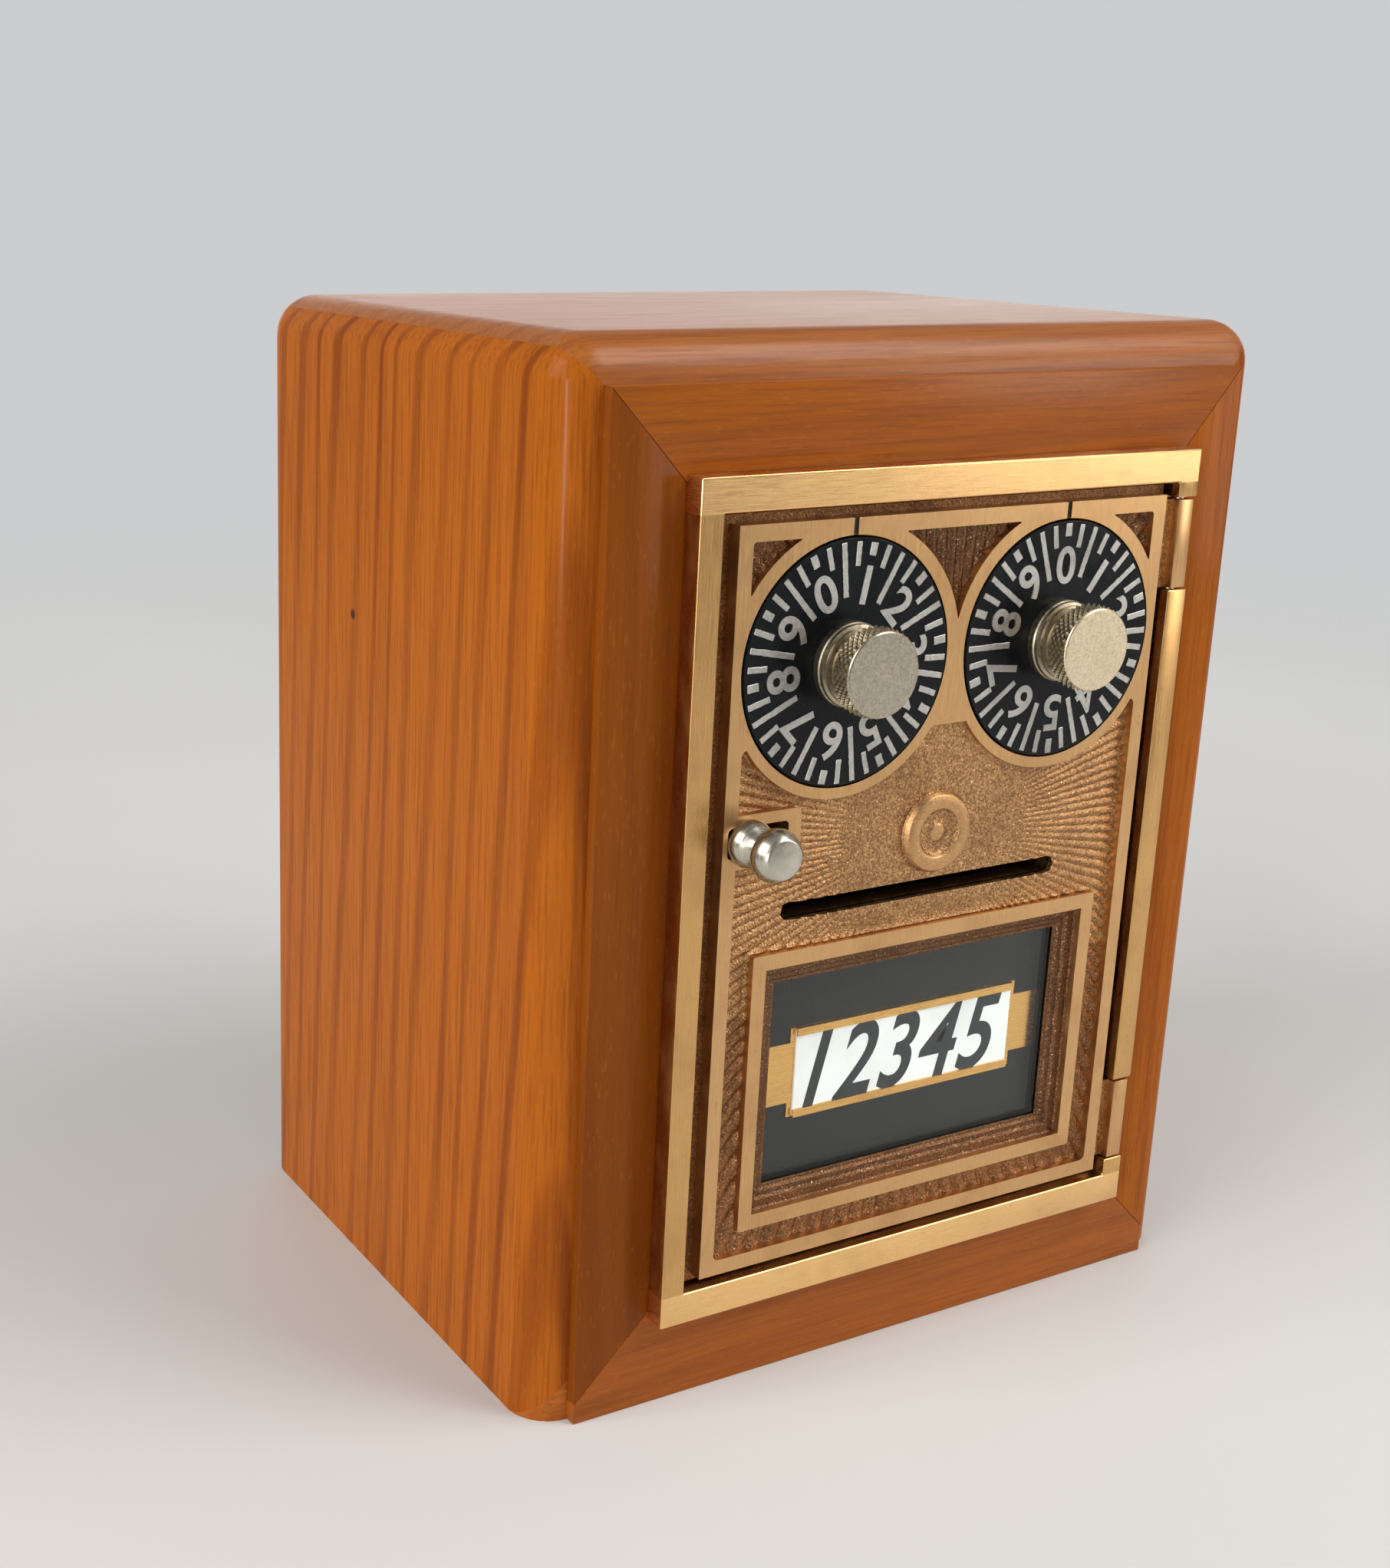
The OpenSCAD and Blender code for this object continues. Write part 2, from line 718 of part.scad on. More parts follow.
// Latch bolt with the fence under the gate wheels, and the knob that slides it
module latch_bolt() {
    fence_z = dial_z - wheel_r - 0.35;
    color(steel_color) on_door() difference() {
        union() {
            span([-bolt_tip, slide_y, latch_z - bolt_h / 2],
                 [-bolt_tip + 23, slide_y + bolt_t, latch_z + bolt_h / 2]);
            span([-bolt_tip + 17, slide_y, latch_z + bolt_h / 2 - 2.4],
                [dial_x + 2, slide_y + bolt_t, latch_z + bolt_h / 2 + 3]);
            for (s = [-1, 1]) span([s * dial_x - 1.4, slide_y, latch_z + bolt_h / 2 + 3 - eps],
                [s * dial_x + 1.4, slide_y + bolt_t, fence_z]);
        }
        translate([-latch_x, 0, latch_z])
            rod_y(shank_r + seat_gap, slide_y - over, slide_y + bolt_t + over);
    }
}

module latch_knob() {
    neck_r = latch_r - 1.6;
    color(steel_color) on_door() translate([-latch_x, 0, latch_z]) rotate([90, 0, 0]) union() {
        translate([0, 0, -slide_y - bolt_t]) cylinder(r = shank_r, h = slide_y + bolt_t + 1);
        rotate_extrude() polygon(concat([[0, free_gap]],
            [for (i = [0 : 10]) let (a = i * 9) [neck_r + 1.2 * cos(a), free_gap + 0.5 + 2 * sin(a)]],
            [[neck_r - 0.2, 4.0]],
            [for (i = [0 : 8]) let (a = -90 + i * 18)
                [latch_r - 1.5 + 1.5 * cos(a), latch_out - 2.2 + 1.9 * sin(a)]],
            [[latch_r - 1.1, latch_out], [0, latch_out]]));
    }
}

left_side();
right_side();
top_board();
bottom_board();
back_panel();
face_left();
face_right();
face_top();
face_bottom();
back_screw_1();
back_screw_2();
back_screw_3();
back_screw_4();
door_frame();
hinge_pin();
frame_screw_1();
frame_screw_2();
frame_screw_3();
frame_screw_4();
door_leaf();
window_glass();
glass_spacer();
backing_plate();
card_holder();
number_card();
plate_screw_1();
plate_screw_2();
plate_screw_3();
plate_screw_4();
lock_case();
lock_screw_1();
lock_screw_2();
lock_screw_3();
lock_screw_4();
left_dial();
left_knob();
left_spindle();
left_wheel();
left_nut();
right_dial();
right_knob();
right_spindle();
right_wheel();
right_nut();
latch_bolt();
latch_knob();
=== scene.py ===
import math
import random
from contextlib import contextmanager

import bmesh
import bpy
from mathutils import Matrix, Vector, noise


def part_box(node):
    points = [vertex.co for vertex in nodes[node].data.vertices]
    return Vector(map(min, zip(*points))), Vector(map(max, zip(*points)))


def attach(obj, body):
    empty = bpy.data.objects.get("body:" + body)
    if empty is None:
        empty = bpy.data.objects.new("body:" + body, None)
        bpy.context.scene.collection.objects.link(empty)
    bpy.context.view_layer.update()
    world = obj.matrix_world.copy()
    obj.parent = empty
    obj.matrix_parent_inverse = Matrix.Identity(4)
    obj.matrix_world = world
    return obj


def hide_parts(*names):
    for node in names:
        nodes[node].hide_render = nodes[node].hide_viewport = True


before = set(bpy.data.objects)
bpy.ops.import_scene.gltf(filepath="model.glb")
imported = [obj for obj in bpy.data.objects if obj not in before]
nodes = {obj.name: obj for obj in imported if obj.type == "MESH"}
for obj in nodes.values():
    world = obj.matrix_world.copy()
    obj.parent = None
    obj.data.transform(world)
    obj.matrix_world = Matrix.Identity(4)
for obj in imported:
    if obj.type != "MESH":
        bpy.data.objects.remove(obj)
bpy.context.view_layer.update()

mm = 0.001
frameLo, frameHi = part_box("door_frame")
doorX = (frameLo.x + frameHi.x) / 2   # middle of the door
frontY = frameLo.y                    # front face of the cast frame
standUp = Matrix.Rotation(math.radians(90), 4, "X")    # a rod or a flat shape turned to face the front


# Mesh helpers: everything is drawn in millimetres from the front of the cast
# frame, then scaled to metres and put in its place.

def linked(name, data):
    made = bpy.data.objects.new(name, data)
    bpy.context.scene.collection.objects.link(made)
    return made


@contextmanager
def opened(made):
    bm = bmesh.new()
    bm.from_mesh(made.data)
    yield bm
    bm.to_mesh(made.data)
    bm.free()


def span(edge, axis):
    return abs(edge.verts[0].co[axis] - edge.verts[1].co[axis])


def edgesOf(made):
    return list({e for v in made["verts"] for e in v.link_edges})


def openEdges(bm):
    return [e for e in bm.edges if e.is_boundary]


def bevelEdges(bm, edges, offset, segments, **more):
    bmesh.ops.bevel(bm, geom=edges, offset=offset, segments=segments, profile=0.5, affect="EDGES",
                    material=-1, **more)


def roundUprights(bm, offset, segments, sharper=-1.0, **more):
    edges = [e for e in bm.edges if span(e, 1) > 1 and e.calc_face_angle(0) > sharper]
    bevelEdges(bm, edges, offset, segments, **more)


def addBlock(bm, lo, hi, soft=0.0, steps=2):
    size = [hi[i] - lo[i] for i in range(3)]
    mid = [(hi[i] + lo[i]) / 2 for i in range(3)]
    made = bmesh.ops.create_cube(bm, size=1, matrix=Matrix.Translation(mid) @ Matrix.Diagonal((*size, 1)))
    if soft > 0:
        bevelEdges(bm, edgesOf(made), soft, steps)


def addRod(bm, x, z, r, y0, y1, segments=64, soft=0.0):
    made = bmesh.ops.create_cone(bm, cap_ends=True, segments=segments, radius1=r, radius2=r, depth=y1 - y0,
                                 matrix=Matrix.Translation((x, (y0 + y1) / 2, z)) @ standUp)
    if soft > 0:
        bevelEdges(bm, [e for e in edgesOf(made) if span(e, 1) < 1e-6], soft, 2)


# A closed shape turned around Y from points of radius and depth
def addTurned(bm, points, steps):
    verts = [bm.verts.new((r, y, 0)) for r, y in points]
    edges = [bm.edges.new(pair) for pair in zip(verts, verts[1:])]
    bmesh.ops.spin(bm, geom=verts + edges, axis=(0, 1, 0), cent=(0, 0, 0), angle=math.tau, steps=steps,
                   use_merge=True)
    bmesh.ops.remove_doubles(bm, verts=bm.verts, dist=1e-3)
    bmesh.ops.holes_fill(bm, edges=openEdges(bm), sides=0)


def meshObject(name, bm, keepDoubles=False):
    if not keepDoubles:
        bmesh.ops.remove_doubles(bm, verts=bm.verts, dist=1e-4)
    bmesh.ops.recalc_face_normals(bm, faces=bm.faces)
    mesh = bpy.data.meshes.new(name)
    bm.to_mesh(mesh)
    bm.free()
    return linked(name, mesh)


# Text as a mesh, with the move that centres it and its size
def textMesh(label, body, **looks):
    curve = bpy.data.curves.new(label, "FONT")
    curve.body = body
    curve.align_x = curve.align_y = "CENTER"
    for key, value in looks.items():
        setattr(curve, key, value)
    text = linked(label, curve)
    bpy.context.view_layer.update()
    mesh = bpy.data.meshes.new_from_object(text.evaluated_get(bpy.context.evaluated_depsgraph_get()))
    bpy.data.objects.remove(text)
    xs = [v.co.x for v in mesh.vertices]
    ys = [v.co.y for v in mesh.vertices]
    mid = Matrix.Translation((-(min(xs) + max(xs)) / 2, -(min(ys) + max(ys)) / 2, 0))
    return mesh, mid, max(xs) - min(xs), max(ys) - min(ys)


def bake(made):
    evaluated = made.evaluated_get(bpy.context.evaluated_depsgraph_get())
    mesh = bpy.data.meshes.new_from_object(evaluated)
    made.modifiers.clear()
    made.data = mesh
    return made


def carve(made, cutters):
    for cutter in cutters:
        step = made.modifiers.new("cut", "BOOLEAN")
        step.operation = "DIFFERENCE"
        step.solver = "EXACT"
        step.object = cutter
    bake(made)
    for cutter in cutters:
        bpy.data.objects.remove(cutter)
    return made


def chamfer(made, width, segments=2, angle=32):
    step = made.modifiers.new("edges", "BEVEL")
    step.width = width
    step.segments = segments
    step.limit_method = "ANGLE"
    step.angle_limit = math.radians(angle)
    return bake(made)


def tidyMesh(made, dist):
    with opened(made) as bm:
        bmesh.ops.remove_doubles(bm, verts=bm.verts, dist=dist)
        bmesh.ops.dissolve_degenerate(bm, dist=dist / 2, edges=bm.edges)
    return made


def smoothByAngle(made, degrees):
    with opened(made) as bm:
        for face in bm.faces:
            face.smooth = len(face.verts) <= 4        # large plane faces keep their own normal
        for edge in bm.edges:
            edge.smooth = len(edge.link_faces) == 2 and edge.calc_face_angle(0) < math.radians(degrees)
    return made


def place(made, body, material, replaced=(), onDoor=True, degrees=30):
    made.data.transform(Matrix.Translation((doorX if onDoor else 0, frontY, 0)) @ Matrix.Scale(mm, 4))
    smoothByAngle(made, degrees)
    kept = [poly.material_index for poly in made.data.polygons]
    made.data.materials.clear()
    finishes = material if isinstance(material, (list, tuple)) else [material]
    for one in finishes:
        made.data.materials.append(one)
    made.data.polygons.foreach_set("material_index", [min(i, len(finishes) - 1) for i in kept])
    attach(made, body)
    if replaced:
        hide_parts(*replaced)
    return made


# Shader helpers

def newGroup(name, inputs, outputs):
    group = bpy.data.node_groups.new(name, "ShaderNodeTree")
    for way, sockets in (("INPUT", inputs), ("OUTPUT", outputs)):
        for label, kind in sockets.items():
            group.interface.new_socket(name=label, in_out=way, socket_type="NodeSocket" + kind)
    return group, group.nodes.new("NodeGroupInput").outputs, group.nodes.new("NodeGroupOutput").inputs


def feed(tree, socket, value):
    if isinstance(value, bpy.types.NodeSocket):
        tree.links.new(value, socket)
    else:
        socket.default_value = value


def addNode(tree, kind, settings=(), inputs=()):
    node = tree.nodes.new(kind)
    for key, value in dict(settings).items():
        setattr(node, key, value)
    for key, value in dict(inputs).items():
        feed(tree, node.inputs[key], value)
    return node


def mathNode(tree, operation, a, b, clamp=False):
    node = addNode(tree, "ShaderNodeMath", {"operation": operation, "use_clamp": clamp}, {0: a, 1: b})
    return node.outputs[0]


def vectorNode(tree, operation, inputs):
    return addNode(tree, "ShaderNodeVectorMath", {"operation": operation}, inputs).outputs


def mapRange(tree, value, lo, hi, outLo=0.0, outHi=1.0):
    node = addNode(tree, "ShaderNodeMapRange", {"interpolation_type": "SMOOTHSTEP"},
                   {"Value": value, "From Min": lo, "From Max": hi, "To Min": outLo, "To Max": outHi})
    return node.outputs["Result"]


def mixColor(tree, fac, a, b, blend="MIX"):
    node = addNode(tree, "ShaderNodeMix", {"data_type": "RGBA", "blend_type": blend}, {0: fac})
    for key, value in ((6, a), (7, b)):
        feed(tree, node.inputs[key], value if isinstance(value, bpy.types.NodeSocket) else (*value, 1))
    return node.outputs[2]


def noiseNode(tree, vector, scale, detail=3.0, rough=0.55, out="Fac"):
    inputs = {"Vector": vector, "Scale": scale, "Detail": detail, "Roughness": rough}
    return addNode(tree, "ShaderNodeTexNoise", {}, inputs).outputs[out]


def stretched(tree, vector, x, y, z):
    return addNode(tree, "ShaderNodeMapping", {}, {"Vector": vector, "Scale": (x, y, z)}).outputs["Vector"]


def newMaterial(name):
    made = bpy.data.materials.new(name)
    made.use_nodes = True
    tree = made.node_tree
    shader = tree.nodes["Principled BSDF"]
    coords = tree.nodes.new("ShaderNodeTexCoord").outputs["Object"]
    return made, tree, shader, coords


def wireShader(tree, shader, color=None, rough=None, height=None, distance=0.0002, strength=1.0):
    if color is not None:
        tree.links.new(color, shader.inputs["Base Color"])
    if rough is not None:
        tree.links.new(rough, shader.inputs["Roughness"])
    if height is not None:
        bump = addNode(tree, "ShaderNodeBump", {},
                       {"Height": height, "Distance": distance, "Strength": strength})
        tree.links.new(bump.outputs["Normal"], shader.inputs["Normal"])


groupOutputs = {"Color": "Color", "Roughness": "Float", "Height": "Float"}


# Cherry grain: the vector's Z runs along the fibres, in metres
def makeGrainGroup():
    group, given, out = newGroup("cherryGrain", {"Vector": "Vector", "Light": "Color", "Dark": "Color",
                                                 "Stripe": "Float", "Shift": "Float"}, groupOutputs)
    shift = addNode(group, "ShaderNodeCombineXYZ", {}, {0: given["Shift"], 1: given["Shift"]}).outputs[0]
    vec = vectorNode(group, "ADD", {0: given["Vector"], 1: shift})[0]
    wander = noiseNode(group, stretched(group, vec, 9, 9, 4), 1.0, 2, 0.5, "Color")
    pushed = vectorNode(group, "MULTIPLY_ADD", {0: wander, 1: (0.006, 0.006, 0), 2: vec})[0]
    bands = noiseNode(group, stretched(group, pushed, 150, 150, 1.6), 1.0, 3, 0.6)     # growth rings
    fine = noiseNode(group, stretched(group, pushed, 1900, 1900, 55), 1.0, 4, 0.75)    # fibres
    fleck = noiseNode(group, stretched(group, vec, 2600, 2600, 520), 1.0, 1, 0.5)      # short rays
    cloud = noiseNode(group, stretched(group, vec, 16, 16, 7), 1.0, 2, 0.5)
    lines = addNode(group, "ShaderNodeTexWave", {"bands_direction": "DIAGONAL"},       # thin, dark late wood
                    {"Vector": stretched(group, pushed, 1, 1, 0.06), "Scale": 92.0, "Distortion": 5.0,
                     "Detail": 2.0, "Detail Scale": 0.55, "Detail Roughness": 0.55}).outputs["Fac"]
    lines = mathNode(group, "MULTIPLY", mapRange(group, lines, 0.62, 1.0),
                     mapRange(group, bands, 0.3, 0.7, 0.45, 1.0))
    bands = mathNode(group, "MAXIMUM", lines, mapRange(group, bands, 0.50, 0.75, 0.0, 0.4))
    tone = mixColor(group, mathNode(group, "MULTIPLY", bands, given["Stripe"]), given["Light"], given["Dark"])
    for mask, lo, hi, most, color in ((cloud, 0.3, 0.7, 0.35, (0.47, 0.135, 0.014)),
                                      (fine, 0.42, 0.70, 0.55, (0.18, 0.04, 0.005)),
                                      (fleck, 0.60, 0.78, 0.13, (0.60, 0.23, 0.04))):
        tone = mixColor(group, mapRange(group, mask, lo, hi, 0.0, most), tone, color)
    group.links.new(tone, out["Color"])
    rough = mathNode(group, "ADD", mapRange(group, fine, 0.3, 0.8, 0.30, 0.44),
                     mapRange(group, cloud, 0.3, 0.7, -0.03, 0.04))
    group.links.new(rough, out["Roughness"])
    group.links.new(mathNode(group, "ADD", fine, mathNode(group, "MULTIPLY", fleck, 0.7)), out["Height"])
    return group


grainGroup = makeGrainGroup()


def woodMaterial(name, along, shift, light, dark, stripe, polish=(0.09, 0.14, 0.04), knot=None):
    made, tree, shader, coords = newMaterial(name)
    quarter = math.radians(90)
    turn = {"x": (0, quarter, 0), "y": (quarter, 0, 0), "z": (0, 0, 0)}[along]
    vec = addNode(tree, "ShaderNodeMapping", {}, {"Vector": coords, "Rotation": turn}).outputs["Vector"]
    grain = addNode(tree, "ShaderNodeGroup", {"node_tree": grainGroup}, {
        "Vector": vec, "Light": (*light, 1), "Dark": (*dark, 1), "Stripe": stripe, "Shift": shift}).outputs
    tone = grain["Color"]
    if knot:
        far = vectorNode(tree, "DISTANCE", {0: coords, 1: knot})["Value"]
        tone = mixColor(tree, mapRange(tree, far, 0.0004, 0.0011, 0.9, 0.0), tone, (0.03, 0.012, 0.004))
    wireShader(tree, shader, tone, grain["Roughness"], grain["Height"], 0.00004, 0.6)
    for label, value in zip(("Coat Weight", "Coat Roughness", "Specular IOR Level"), polish):
        shader.inputs[label].default_value = value
    return made


# Metal: fine scratches along one direction, blotches, and bright specks
def makeMetalGroup():
    group, given, out = newGroup("wornMetal", {
        "Vector": "Vector", "Base": "Color", "Stain": "Color", "Brush": "Vector", "Stain Amount": "Float",
        "Rough": "Float", "Speck": "Float", "Grit": "Float"}, groupOutputs)
    vec, stainColor = given["Vector"], given["Stain"]
    brush = noiseNode(group, vectorNode(group, "MULTIPLY", {0: vec, 1: given["Brush"]})[0], 1.0, 3, 0.6)
    cloud = noiseNode(group, vec, 95, 4, 0.62)
    spots = noiseNode(group, vec, 620, 3, 0.6)
    grit = noiseNode(group, vec, 3300, 2, 0.6)
    stain = mathNode(group, "MULTIPLY", mapRange(group, cloud, 0.42, 0.72), given["Stain Amount"])
    spot = mathNode(group, "MULTIPLY", mapRange(group, spots, 0.60, 0.74), given["Stain Amount"])
    tone = mixColor(group, stain, given["Base"], stainColor)
    tone = mixColor(group, spot, tone, stainColor)
    tone = mixColor(group, mapRange(group, brush, 0.35, 0.75, 0.0, 0.45), tone, (1.0, 0.93, 0.8),
                    "SOFT_LIGHT")
    gritTone = mathNode(group, "MULTIPLY", mapRange(group, grit, 0.35, 0.6, 1.0, 0.0), given["Grit"])
    tone = mixColor(group, mathNode(group, "MULTIPLY", gritTone, 0.75), tone, stainColor)
    sparkle = mathNode(group, "MULTIPLY", mapRange(group, grit, 0.66, 0.72), given["Speck"])
    tone = mixColor(group, sparkle, tone, (0.95, 0.72, 0.42))
    group.links.new(tone, out["Color"])
    rough = mathNode(group, "ADD", given["Rough"], mapRange(group, brush, 0.3, 0.8, -0.07, 0.09))
    rough = mathNode(group, "ADD", rough, mathNode(group, "MULTIPLY", stain, 0.15))
    rough = mathNode(group, "SUBTRACT", rough, mathNode(group, "MULTIPLY", sparkle, 0.2), clamp=True)
    group.links.new(rough, out["Roughness"])
    height = mathNode(group, "ADD", mathNode(group, "MULTIPLY", brush, 0.25),
                      mathNode(group, "MULTIPLY", grit, given["Grit"]))
    height = mathNode(group, "ADD", height, mathNode(group, "MULTIPLY", spots, 0.15))
    group.links.new(height, out["Height"])
    return group


metalGroup = makeMetalGroup()


def metalMaterial(name, base, stain, brush, amount=0.4, rough=0.35, speck=0.0, grit=0.0, bump=0.00002,
                  strength=0.5):
    made, tree, shader, coords = newMaterial(name)
    metal = addNode(tree, "ShaderNodeGroup", {"node_tree": metalGroup}, {
        "Vector": coords, "Base": (*base, 1), "Stain": (*stain, 1), "Brush": brush, "Stain Amount": amount,
        "Rough": rough, "Speck": speck, "Grit": grit}).outputs
    wireShader(tree, shader, metal["Color"], metal["Roughness"], metal["Height"], bump, strength)
    shader.inputs["Metallic"].default_value = 1.0
    return made


sideWood = woodMaterial("cherrySide", "z", 0.31, (0.41, 0.104, 0.007), (0.20, 0.038, 0.003), 1.0,
                        knot=(-0.062, 0.0198, 0.107))
rightWood = woodMaterial("cherryRightSide", "z", 1.73, (0.41, 0.104, 0.007), (0.20, 0.038, 0.003), 1.0)
topWood = woodMaterial("cherryTop", "x", 2.11, (0.36, 0.11, 0.018), (0.24, 0.062, 0.009), 0.7,
                       (0.22, 0.3, 0.2))
bottomWood = woodMaterial("cherryBottom", "x", 4.05, (0.40, 0.115, 0.02), (0.25, 0.06, 0.01), 0.8)
# The left stile is a much darker copy of the stile cherry: painted shade, as the light falls from the right
shadedLeftStileWood = woodMaterial("cherryLeftStilePaintedShade", "z", 5.37, (0.14, 0.030, 0.001), (0.08, 0.015, 0.001), 0.7)
rightStileWood = woodMaterial("cherryRightStile", "z", 6.61, (0.36, 0.092, 0.006), (0.20, 0.04, 0.003), 0.6)
railWood = woodMaterial("cherryRail", "x", 7.71, (0.30, 0.075, 0.004), (0.18, 0.038, 0.003), 0.6,
                        (0.3, 0.26, 0.08))
backWood = woodMaterial("cherryBack", "z", 9.13, (0.44, 0.14, 0.03), (0.28, 0.07, 0.014), 0.9)
alongRail, alongStile, even, satin = (160, 400, 9000), (9000, 400, 160), (900, 900, 900), (2600, 2600, 2600)
rail = {"amount": 0.30, "rough": 0.30, "bump": 0.00005}
sand = {"brush": even, "grit": 1.0, "bump": 0.00018, "strength": 0.9}
frameBrass = metalMaterial("frameBrass", (0.60, 0.345, 0.135), (0.36, 0.19, 0.08), alongStile, **rail)
# The top and bottom rails get a brighter copy of the frame brass: a painted highlight where the light catches
# the frame
railHighlightBrass = metalMaterial("frameRailBrassPaintedHighlight", (0.88, 0.53, 0.23), (0.48, 0.27, 0.12), alongRail, **rail)
sideBrass = metalMaterial("frameSideBrass", (0.42, 0.31, 0.16), (0.24, 0.16, 0.08), alongRail, 0.35, 0.36)
raisedBrass = metalMaterial("raisedBrass", (0.60, 0.35, 0.16), (0.34, 0.18, 0.08), (7000, 400, 180), 0.35,
                            0.34, 0.1)
castBrass = metalMaterial("castBrass", (0.51, 0.28, 0.125), (0.17, 0.085, 0.04), amount=0.35, rough=0.40,
                          speck=1.0, **sand)
darkCast = metalMaterial("darkCastBrass", (0.36, 0.17, 0.075), (0.10, 0.05, 0.025), amount=0.4, rough=0.42,
                         speck=0.8, **sand)
pocketCast = metalMaterial("pocketCastBrass", (0.20, 0.10, 0.05), (0.06, 0.03, 0.018), amount=0.4, rough=0.38,
                           speck=0.9, **sand)
softCast = metalMaterial("rubbedCastBrass", (0.58, 0.33, 0.15), (0.28, 0.15, 0.07), even, 0.35, 0.42, 0.4,
                         0.5, 0.0001, 0.7)
grooveBrass = metalMaterial("grooveBrass", (0.24, 0.125, 0.06), (0.07, 0.035, 0.02), even, 0.5, 0.5, 0.35,
                            1.0, 0.0001, 0.9)
plainBrass = metalMaterial("plainBrass", (0.70, 0.48, 0.22), (0.45, 0.28, 0.12), (3000, 3000, 3000), 0.3,
                           0.32)
holderBrass = metalMaterial("holderBrass", (0.78, 0.42, 0.12), (0.45, 0.22, 0.06), (200, 3000, 6000), 0.3,
                            0.25)
nickel = metalMaterial("satinNickel", (0.46, 0.41, 0.33), (0.24, 0.20, 0.13), satin, 0.25, 0.30, 0.2, 0.35,
                       0.00003)
# The right knob's nickel is a brighter copy of the left knob's: painted light on the knob nearer the light
litRightKnobNickel = metalMaterial("litRightKnobNickel", (0.82, 0.68, 0.48), (0.42, 0.32, 0.18), satin, 0.3, 0.32, 0.2,
                             0.35, 0.00003)
agedNickel = metalMaterial("agedNickel", (0.40, 0.35, 0.26), (0.13, 0.095, 0.045), satin, 0.7, 0.34)
knurlNickel = metalMaterial("knurlNickel", (0.26, 0.22, 0.15), (0.03, 0.022, 0.012), satin, 0.8, 0.36)
aluminium = metalMaterial("turnedAluminium", (0.48, 0.46, 0.40), (0.24, 0.22, 0.17), (500, 6000, 500), 0.3,
                          0.26)
markMetal = metalMaterial("markMetal", (0.52, 0.51, 0.49), (0.24, 0.23, 0.21), (1500, 1500, 1500), 0.6,
                          0.42, 0.0, 0.3)
steel = metalMaterial("plainSteel", (0.52, 0.52, 0.50), (0.30, 0.28, 0.25), (300, 300, 5000), 0.4, 0.36)


def enamelMaterial(name, color, rough):
    made, tree, shader, coords = newMaterial(name)
    cloud = noiseNode(tree, coords, 240, 4, 0.6)
    dust = noiseNode(tree, coords, 2600, 2, 0.6)
    tone = mixColor(tree, mapRange(tree, dust, 0.66, 0.76, 0.0, 0.08), color, (0.30, 0.30, 0.28))
    shader.inputs["Specular IOR Level"].default_value = 0.18
    roughness = mapRange(tree, cloud, 0.3, 0.7, rough - 0.07, rough + 0.1)
    wireShader(tree, shader, tone, roughness, cloud, 0.000004, 0.04)
    return made


dialBlack = enamelMaterial("dialEnamel", (0.004, 0.005, 0.006), 0.24)
plateBlack = enamelMaterial("plateEnamel", (0.010, 0.012, 0.012), 0.5)
inkBlack = enamelMaterial("printedInk", (0.022, 0.026, 0.028), 0.55)


def glassMaterial():
    made, tree, shader, coords = newMaterial("windowGlass")
    dust = noiseNode(tree, coords, 1500, 4, 0.7)
    smear = noiseNode(tree, stretched(tree, coords, 60, 60, 200), 1.0, 3, 0.6)
    rough = mathNode(tree, "ADD", mapRange(tree, dust, 0.7, 0.8, 0.0, 0.12),
                     mapRange(tree, smear, 0.4, 0.8, 0.0, 0.03))
    wireShader(tree, shader, None, rough)
    shader.inputs["Base Color"].default_value = (0.96, 0.98, 0.97, 1)
    shader.inputs["Transmission Weight"].default_value = 1.0
    shader.inputs["IOR"].default_value = 1.3
    path = addNode(tree, "ShaderNodeLightPath")       # light falls through the pane onto the card
    shade = mathNode(tree, "MULTIPLY", path.outputs["Is Shadow Ray"], 0.92)
    tree.links.new(mathNode(tree, "SUBTRACT", 1.0, shade), shader.inputs["Alpha"])
    return made


def paperMaterial():
    made, tree, shader, coords = newMaterial("cardPaper")
    fibre = noiseNode(tree, coords, 2200, 4, 0.7)
    cloud = noiseNode(tree, coords, 90, 3, 0.6)
    tone = mixColor(tree, mapRange(tree, cloud, 0.35, 0.75), (0.80, 0.82, 0.82), (0.70, 0.71, 0.69))
    wireShader(tree, shader, tone, mapRange(tree, fibre, 0.3, 0.7, 0.5, 0.65), fibre, 0.00001, 0.4)
    return made


windowGlass = glassMaterial()
cardPaper = paperMaterial()
print("materials ready")


def boxPiece(name, lo, hi, corner=0.0, segments=5):
    bm = bmesh.new()
    addBlock(bm, lo, hi)
    if corner > 0:
        roundUprights(bm, corner, segments)
    return meshObject(name, bm)


def boxCutter(*shape):
    return boxPiece("cutter", *shape)


def rodCutter(x, z, r, y0, y1, segments):
    bm = bmesh.new()
    addRod(bm, x, z, r, y0, y1, segments)
    return meshObject("cutter", bm)


# Wooden case
case = {"width": 124.0, "height": 153.4, "front": 5.3, "back": 99.0, "board": 12.0, "round": 6.35,
        "faceWidth": 111.3, "faceHeight": 147.05, "faceBack": 15.5, "ledge": 4.0, "backPanel": 5.0,
        "seat": 96.6, "slotDeep": 0.8, "slotHalf": 0.4, "slotTurn": 0.8}


def caseBlock():
    bm = bmesh.new()
    w = case["width"] / 2
    addBlock(bm, (-w, case["front"], 0), (w, case["back"], case["height"]))
    bevelEdges(bm, [e for e in bm.edges if max(v.co.z for v in e.verts) > 1], case["round"], 10)
    return bm


def screwSpots():
    for i in range(4):
        lo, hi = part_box(f"back_screw_{i + 1}")
        yield i, (lo.x + hi.x) / 2 / mm, (lo.z + hi.z) / 2 / mm, (hi.x - lo.x) / 2 / mm


def screwSeats():
    return [rodCutter(x, z, r, case["seat"], case["back"] + 2, 48) for i, x, z, r in screwSpots()]


